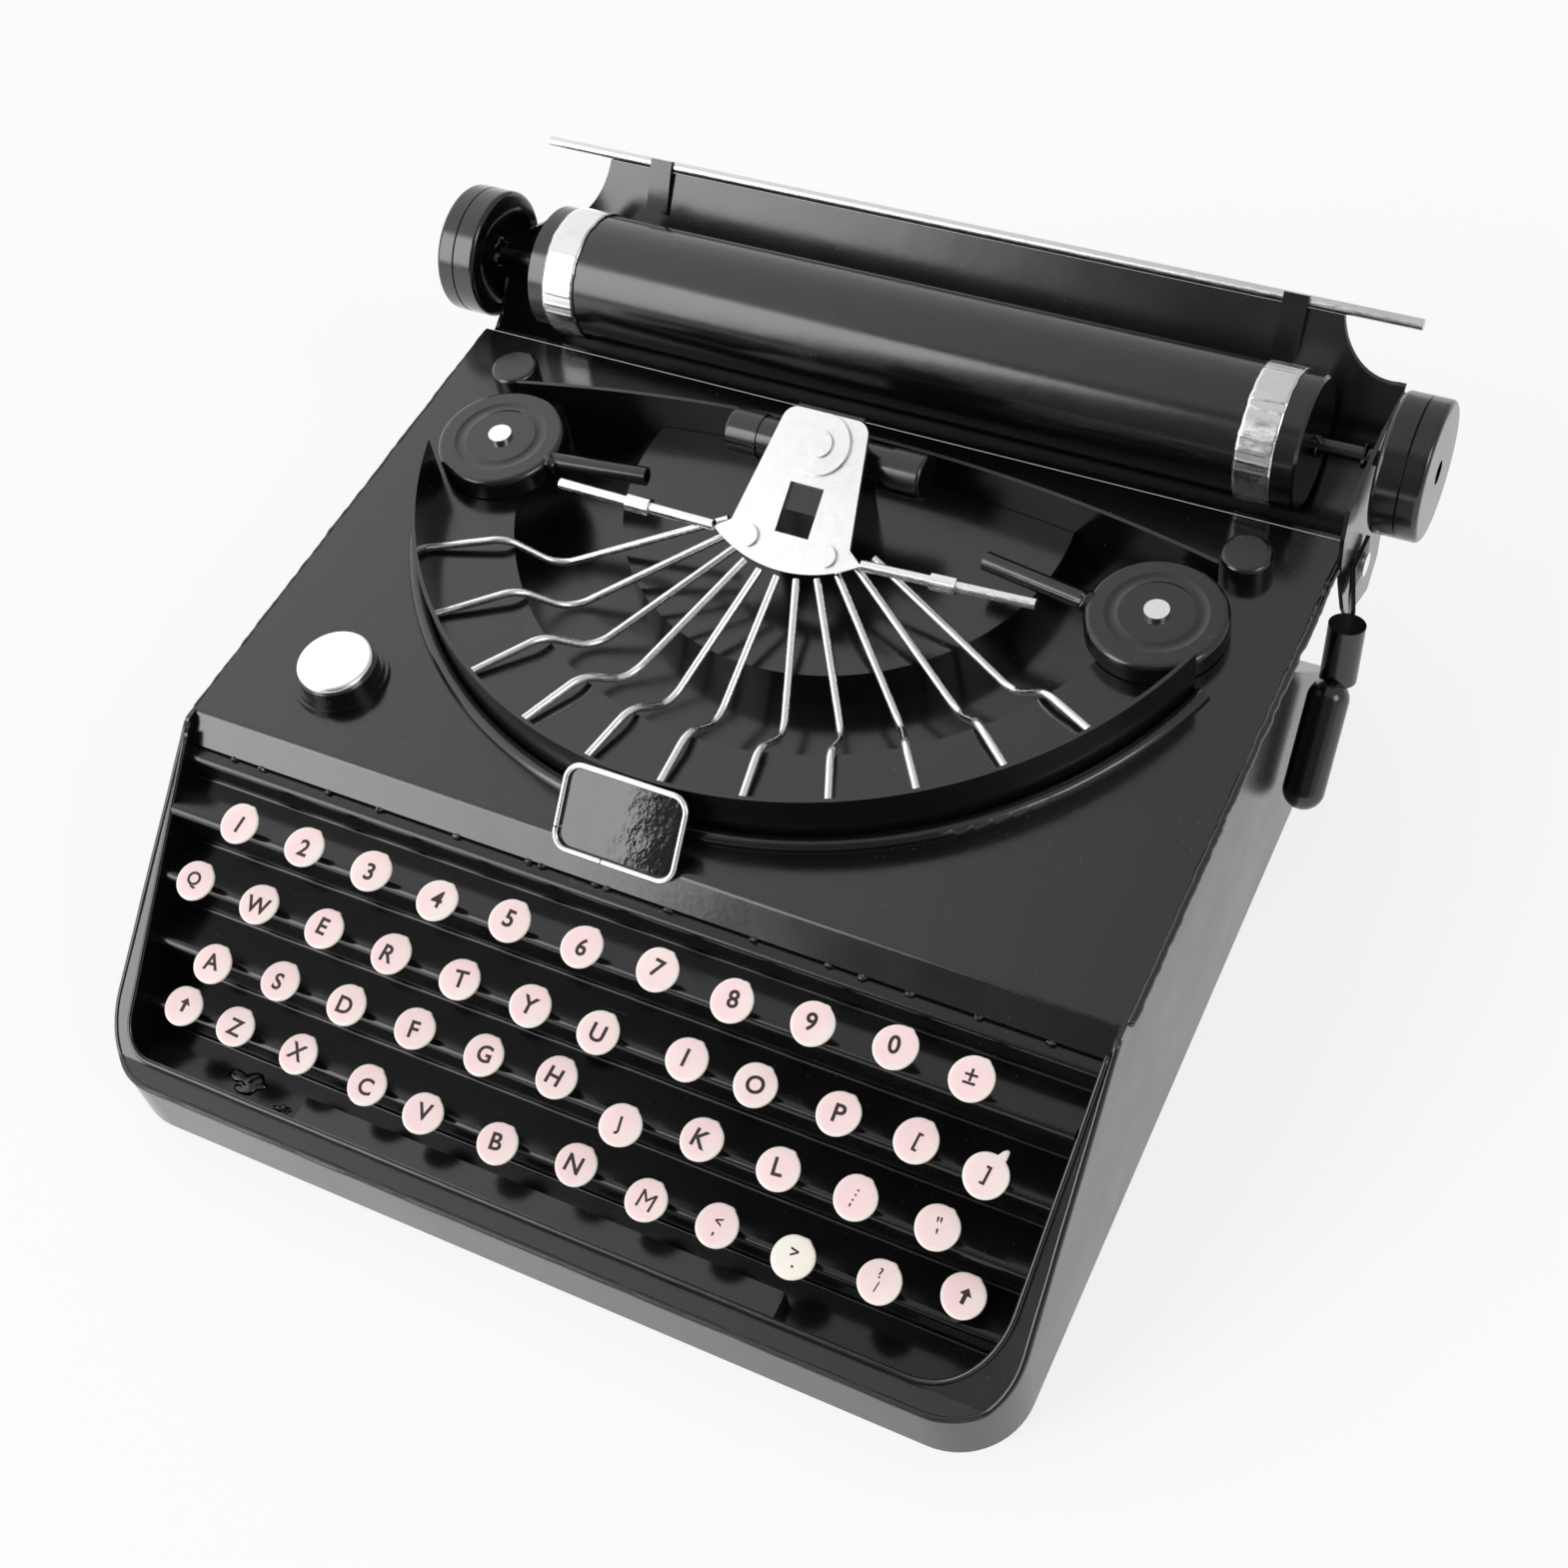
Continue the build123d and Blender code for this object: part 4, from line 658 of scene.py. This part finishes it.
def foil_ring(start, end, middle, radius, seed):
    """Crinkled strip: radius = ring radius + narrow ridges at uneven angles, each leaning a little.

    The strip's edges wander along the platen, and its section is closed by the inner side.
    """
    chance = np.random.default_rng(seed)
    angle = np.linspace(0, 2 * pi, foil_sides, endpoint=False)
    edges = [wandering_line(foil_sides, foil_wander_reach, seed + edge) for edge in (0, 1)]
    wander = foil_edge_wander * np.stack(edges) * np.sqrt(np.sin(angle / 2))
    share = np.linspace(0, 1, foil_steps)
    along = start + wander[0, :, None] + share * (end - start + wander[1, :, None] - wander[0, :, None])
    ridge_angle = np.sort(chance.uniform(0, 2 * pi, foil_ridges))
    ridge_height = foil_ridge_height * chance.uniform(foil_least_ridge, 1.0, foil_ridges)
    ridge_lean = chance.normal(0, foil_ridge_lean, foil_ridges)
    away = angle[:, None, None] - ridge_angle - ridge_lean * (share[None, :, None] - 0.5)
    away = (away + pi) % (2 * pi) - pi
    ridges = (ridge_height * np.exp(-((away / foil_ridge_width) ** 2))).sum(axis=2)
    outer = radius + ridges * np.sin(pi * share) ** foil_edge_fade
    inner = np.full_like(outer, radius - foil_thickness)
    depth = np.concatenate((outer, inner[:, ::-1]), axis=1)
    along = np.concatenate((along, along[:, ::-1]), axis=1)
    across = middle[0] + depth * np.cos(angle)[:, None]
    height = middle[1] + depth * np.sin(angle)[:, None]
    return wrapped_sections(np.stack((along, across, height), -1))


ring_corners = node_points("platen_rings")
ring_low, ring_high = ring_corners.min(axis=0), ring_corners.max(axis=0)
ring_middle = (ring_low[1:] + ring_high[1:]) / 2
ring_radius = (ring_high[2] - ring_low[2]) / 2
left_ring = ring_corners[ring_corners[:, 0] < 0, 0]
right_ring = ring_corners[ring_corners[:, 0] > 0, 0]
left_points, left_quads = foil_ring(left_ring.min(), left_ring.max(), ring_middle, ring_radius, 21)
right_points, right_quads = foil_ring(right_ring.min(), right_ring.max(), ring_middle, ring_radius, 31)
foil = new_piece(
    "platen_foil",
    np.concatenate((left_points, right_points)),
    np.concatenate((left_quads, right_quads + len(left_points))).tolist(),
    silver_foil,
    "platen",
)
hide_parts("platen_rings")

# Welds
blob_rings = 14
blob_sides = 24
blob_waves = 9
blob_wave_count = 3.2
blob_pole = 0.12
usual_lumps = 0.9


def weld_blobs(name, places, sizes, body, seed, lumps=usual_lumps):
    """Lumpy drops: a ball stretched to its size, whose radius swells by the mean of uneven waves."""
    places = np.array(places, float)
    sizes = np.array(sizes, float)
    chance = np.random.default_rng(seed)
    fall = np.linspace(blob_pole, pi - blob_pole, blob_rings)[:, None]
    angle = np.linspace(0, 2 * pi, blob_sides, endpoint=False)[None, :]
    level = np.cos(fall) + 0 * angle
    ball = np.stack((np.sin(fall) * np.cos(angle), np.sin(fall) * np.sin(angle), level), -1)
    waves = chance.normal(0, blob_wave_count, (len(places), 3, blob_waves))
    phase = chance.uniform(0, 2 * pi, (len(places), 1, 1, blob_waves))
    swell = np.cos(np.einsum("rsk,bkw->brsw", ball, waves) + phase).mean(axis=3)
    radius = 1 + lumps * swell
    points = places[:, None, None, :] + ball * radius[..., None] * sizes[:, None, None, :]
    return closed_rings(name, points, weld_lacquer, body, "black_lacquer")


arc_points = 13
bead_sides = 12
bead_middle_reach = 6
bead_radius_reach = 3
bead_radius_limits = (0.3, 1.7)


def rounded_path(corners, radii, step):
    """Points about one step apart along a line whose inner corners are arcs of the given radii."""
    corners = np.array(corners, float)
    pieces = [corners[:1]]
    for before, corner, beyond, radius in zip(corners, corners[1:], corners[2:], radii):
        back = (before - corner) / np.linalg.norm(before - corner)
        ahead = (beyond - corner) / np.linalg.norm(beyond - corner)
        half = np.arccos(np.clip(back @ ahead, -1, 1)) / 2
        middle = corner + (back + ahead) / np.linalg.norm(back + ahead) * radius / sin(half)
        first = corner + back * radius / np.tan(half)
        last = corner + ahead * radius / np.tan(half)
        share = np.linspace(0, 1, arc_points)[:, None]
        arc = first * (1 - share) + last * share - middle
        pieces.append(middle + arc / np.linalg.norm(arc, axis=1, keepdims=True) * radius)
    line = np.concatenate((*pieces, corners[-1:]))
    length = np.concatenate(((0,), np.cumsum(np.linalg.norm(np.diff(line, axis=0), axis=1))))
    places = np.linspace(0, length[-1], int(length[-1] / step))
    return np.stack([np.interp(places, length, line[:, axis]) for axis in range(line.shape[1])], -1)


def bead(name, path, radius, wander, material, body, seed):
    """A round bead: a ring across the path at each point, whose radius and middle wander by a share."""
    count = len(path)
    way = np.gradient(path, axis=0)
    way /= np.linalg.norm(way, axis=1, keepdims=True)
    side = np.cross(way, (0.0, 0.0, 1.0))
    side /= np.linalg.norm(side, axis=1, keepdims=True)
    over = np.cross(side, way)
    middle = path + wander * radius * wandering_line(count, bead_middle_reach, seed)[:, None] * side
    swell = 1 + wander * wandering_line(count, bead_radius_reach, seed + 1)
    thickness = radius * np.clip(swell, *bead_radius_limits)[:, None, None]
    angle = np.linspace(0, 2 * pi, bead_sides, endpoint=False)[:, None]
    ring = np.cos(angle) * side[:, None, :] + np.sin(angle) * over[:, None, :]
    points = middle[:, None, :] + thickness * ring
    return closed_rings(name, points[None], material, body, "black_lacquer")


# Spatter along the bevel's foot, listed from left to right
bevel_foot_y = -38.8
bevel_foot_height = 50.6
bevel_weld_size = (0.8, 0.45, 0.42)
bevel_weld_x = (
    -84.0, -77.5, -61.8, -50.4, -33.2, -17.5, -14.6, -3.5, -1.2, 11.6, 28.5, 43.0, 49.5, 58.5, 71.0, 84.0
)
bevel_weld_places = [(x, bevel_foot_y, bevel_foot_height) for x in bevel_weld_x]
weld_blobs("bevel_welds", bevel_weld_places, [bevel_weld_size] * len(bevel_weld_x), "housing", 41)

# Seams between the deck and its side panels: name, x, height, radius, wander, seed
deck_seam_front = -33.2
deck_seam_back = 78.0
deck_seam_step = 0.5
deck_seams = (
    ("deck_right_seam", 95.75, 54.9, 0.85, 0.08, 42),
    ("deck_left_seam", -95.4, 55.1, 0.5, 0.1, 44),
)
for name, x, height, radius, wander, seed in deck_seams:
    seam = rounded_path(((x, deck_seam_front, height), (x, deck_seam_back, height)), (), deck_seam_step)
    bead(name, seam, radius, wander, weld_lacquer, "housing", seed)

# Rolled edges of the key well's wall and of the flange's outer bend, which follow the flange's slope
flange_foot_y = -88.9
flange_foot_height = 14.0
flange_pitch = 0.789
edge_step = 1.2
edge_wander = 0.03
well_corners = ((-94.2, -39.2), (-90.8, -88.5), (90.8, -88.5), (94.2, -39.2))
well_radii = (6.6, 14.6)
well_lip_rise = 0.35
well_lip_radius = 0.5
bend_corners = ((-95.0, -36.5), (-95.0, -93.0), (95.0, -93.0), (95.0, -36.5))
bend_radii = (13.5, 13.5)
bend_rise = -0.62
bend_radius = 0.72


def on_flange(plan, rise):
    """A plan line laid on the flange: foot height + pitch times the distance behind the foot + a rise."""
    height = flange_foot_height + flange_pitch * np.maximum(plan[:, 1] - flange_foot_y, 0) + rise
    return np.column_stack((plan, height))


well_lip = on_flange(rounded_path(well_corners, well_radii, edge_step), well_lip_rise)
flange_bend = on_flange(rounded_path(bend_corners, bend_radii, edge_step), bend_rise)
bead("well_lip", well_lip, well_lip_radius, edge_wander, fitting_lacquer, "housing", 51)
bead("flange_bend", flange_bend, bend_radius, edge_wander, wall_lacquer, "housing", 53)

# Welds on the key well's floor, on the platen's shaft and where the ribbon tubes leave their spools
floor_weld_places = [(-67.6, -82.4, 8.4), (-56.9, -84.9, 8.5)]
floor_weld_sizes = [(3.0, 1.7, 0.6), (1.4, 0.8, 0.5)]
floor_weld_lumps = 1.5
shaft_weld_places = [(x, *ring_middle) for x in (-96.9, 85.3, 94.4)]
shaft_weld_sizes = [(1.5, 2.7, 2.7), (0.9, 2.1, 2.1), (0.7, 1.9, 1.9)]
shaft_weld_lumps = 1.08
tube_weld_lumps = 1.02
left_tube_weld_place = (-58.4, 45.2, 58.6)
left_tube_weld_size = (1.7, 2.3, 2.0)
right_tube_weld_place = (57.0, 45.9, 58.6)
right_tube_weld_size = (1.6, 2.2, 2.0)
weld_blobs("floor_weld", floor_weld_places, floor_weld_sizes, "housing", 46, floor_weld_lumps)
weld_blobs("shaft_welds", shaft_weld_places, shaft_weld_sizes, "platen", 49, shaft_weld_lumps)
weld_blobs(
    "left_tube_weld", [left_tube_weld_place], [left_tube_weld_size], "left_ribbon", 47, tube_weld_lumps
)
weld_blobs(
    "right_tube_weld", [right_tube_weld_place], [right_tube_weld_size], "right_ribbon", 48, tube_weld_lumps
)

# Finishes of the CAD nodes
node_finish = {
    "top_cover": deck_lacquer,
    "key_panel": step_lacquer,
    "key_well": step_lacquer,
    "platen_tube": platen_lacquer,
    "carriage_trough": platen_lacquer,
    "nameplate": plate_lacquer,
    "paper_rest_rod": silver_rod,
    "lever_arm": strip_lacquer,
}
wall_nodes = ("left_side_panel", "right_side_panel", "front_skirt", "rim_flange", "rear_panel", "base_plate")
wire_nodes = ("silver_button", "nameplate_frame", "pivot_rivets")
plate_nodes = ("type_guide", "guide_rivets", "platen_rings")
for name, node in nodes.items():
    finish = node_finish.get(name, fitting_lacquer)
    if name in wall_nodes:
        finish = wall_lacquer
    if name in wire_nodes or name.startswith("type_bar") or name.endswith("ribbon_arm"):
        finish = silver_wire
    if name in plate_nodes:
        finish = silver_plate
    if name.startswith("key_tops"):
        finish = key_enamel
    node.data.materials.clear()
    node.data.materials.append(finish)

# Camera
camera_data = bpy.data.cameras.new("camera")
camera_data.lens = camera_lens
camera_data.sensor_width = camera_sensor
camera_data.sensor_height = camera_sensor
camera_data.clip_start = 0.01
camera = bpy.data.objects.new("camera", camera_data)
turn = Matrix((camera_right, -camera_down, -camera_forward)).transposed()
camera.matrix_world = Matrix.Translation(camera_place) @ turn.to_4x4()
scene.collection.objects.link(camera)
scene.camera = camera


def softbox(name, azimuth, elevation, size, power):
    """A rectangular lamp at a direction from the object, which faces it."""
    lamp = bpy.data.lights.new(name, "AREA")
    lamp.shape = "RECTANGLE"
    lamp.size = size[0]
    lamp.size_y = size[1]
    lamp.energy = power
    holder = bpy.data.objects.new(name, lamp)
    way = Vector((cos(elevation) * cos(azimuth), cos(elevation) * sin(azimuth), sin(elevation)))
    holder.location = way * softbox_distance
    holder.rotation_euler = way.to_track_quat("Z", "Y").to_euler()
    scene.collection.objects.link(holder)


# One lamp at the front left, which the platen and the bevel show, and a smaller one at the right
softbox("front_softbox", softbox_azimuth, softbox_elevation, softbox_size, softbox_power)
softbox("side_softbox", side_light_azimuth, side_light_elevation, side_light_size, side_light_power)

# Pale surroundings, brighter at the left and dark towards the front, where the room isn't lit
world = bpy.data.worlds.new("studio")
world.use_nodes = True
scene.world = world
sky = world.node_tree
way = add_node(sky, "ShaderNodeTexCoord").outputs["Generated"]
towards_front = add_node(sky, "ShaderNodeVectorMath", operation="DOT_PRODUCT")
towards_front.inputs[1].default_value = Vector(front_direction).normalized()
sky.links.new(way, towards_front.inputs[0])
parts_of_way = add_node(sky, "ShaderNodeSeparateXYZ")
sky.links.new(way, parts_of_way.inputs[0])
open_level = ramp(sky, parts_of_way.outputs["X"], *sky_fall, sky_left_level, sky_right_level)
level = ramp(sky, towards_front.outputs["Value"], *front_fall, open_level, front_level)
rays = add_node(sky, "ShaderNodeLightPath")
level = maths(sky, "MAXIMUM", level, rays.outputs["Is Camera Ray"])
sky.links.new(level, sky.nodes["Background"].inputs["Strength"])
sky.nodes["Background"].inputs["Color"].default_value = (1.0, 1.0, 1.0, 1.0)

# Floor: white to the eye; in reflections it is a painted glow, brighter at the left than at the right, which
# stands in for the studio light falling on it; it still takes the object's shadow
floor_mesh = bpy.data.meshes.new("floor")
floor_signs = ((-1, -1), (1, -1), (1, 1), (-1, 1))
floor_corners = [(across * floor_half, along * floor_half, 0) for across, along in floor_signs]
floor_mesh.from_pydata(floor_corners, [], [(0, 1, 2, 3)])
floor = bpy.data.objects.new("floor", floor_mesh)
scene.collection.objects.link(floor)
floor_paint = bpy.data.materials.new("floor_paint")
floor_paint.use_nodes = True
paint = floor_paint.node_tree
paint_shader = paint.nodes["Principled BSDF"]
paint_shader.inputs["Base Color"].default_value = (floor_shade, floor_shade, floor_shade, 1.0)
paint_shader.inputs["Roughness"].default_value = floor_roughness
paint_shader.inputs["Specular IOR Level"].default_value = 0.0
paint_rays = add_node(paint, "ShaderNodeLightPath")
seen = maths(paint, "MAXIMUM", paint_rays.outputs["Is Camera Ray"], paint_rays.outputs["Is Glossy Ray"])
seen = maths(paint, "MAXIMUM", seen, paint_rays.outputs["Is Transmission Ray"])
share = maths(paint, "MULTIPLY", seen, floor_white_share)
paint_place = add_node(paint, "ShaderNodeSeparateXYZ")
paint.links.new(add_node(paint, "ShaderNodeTexCoord").outputs["Object"], paint_place.inputs[0])
# Painted light: reflections see the floor glow more strongly at the left than at the right, while the eye
# sees it at 1
lit = ramp(paint, paint_place.outputs["X"], *floor_painted_glow_fall, floor_left_painted_glow, floor_right_painted_glow)
lit = ramp(paint, paint_rays.outputs["Is Camera Ray"], 0.0, 1.0, lit, 1.0)
glow = add_node(paint, "ShaderNodeEmission")
paint.links.new(lit, glow.inputs["Strength"])
blended = add_node(paint, "ShaderNodeMixShader")
paint.links.new(share, blended.inputs[0])
paint.links.new(paint_shader.outputs[0], blended.inputs[1])
paint.links.new(glow.outputs[0], blended.inputs[2])
paint.links.new(blended.outputs[0], paint.nodes["Material Output"].inputs["Surface"])
floor_mesh.materials.append(floor_paint)
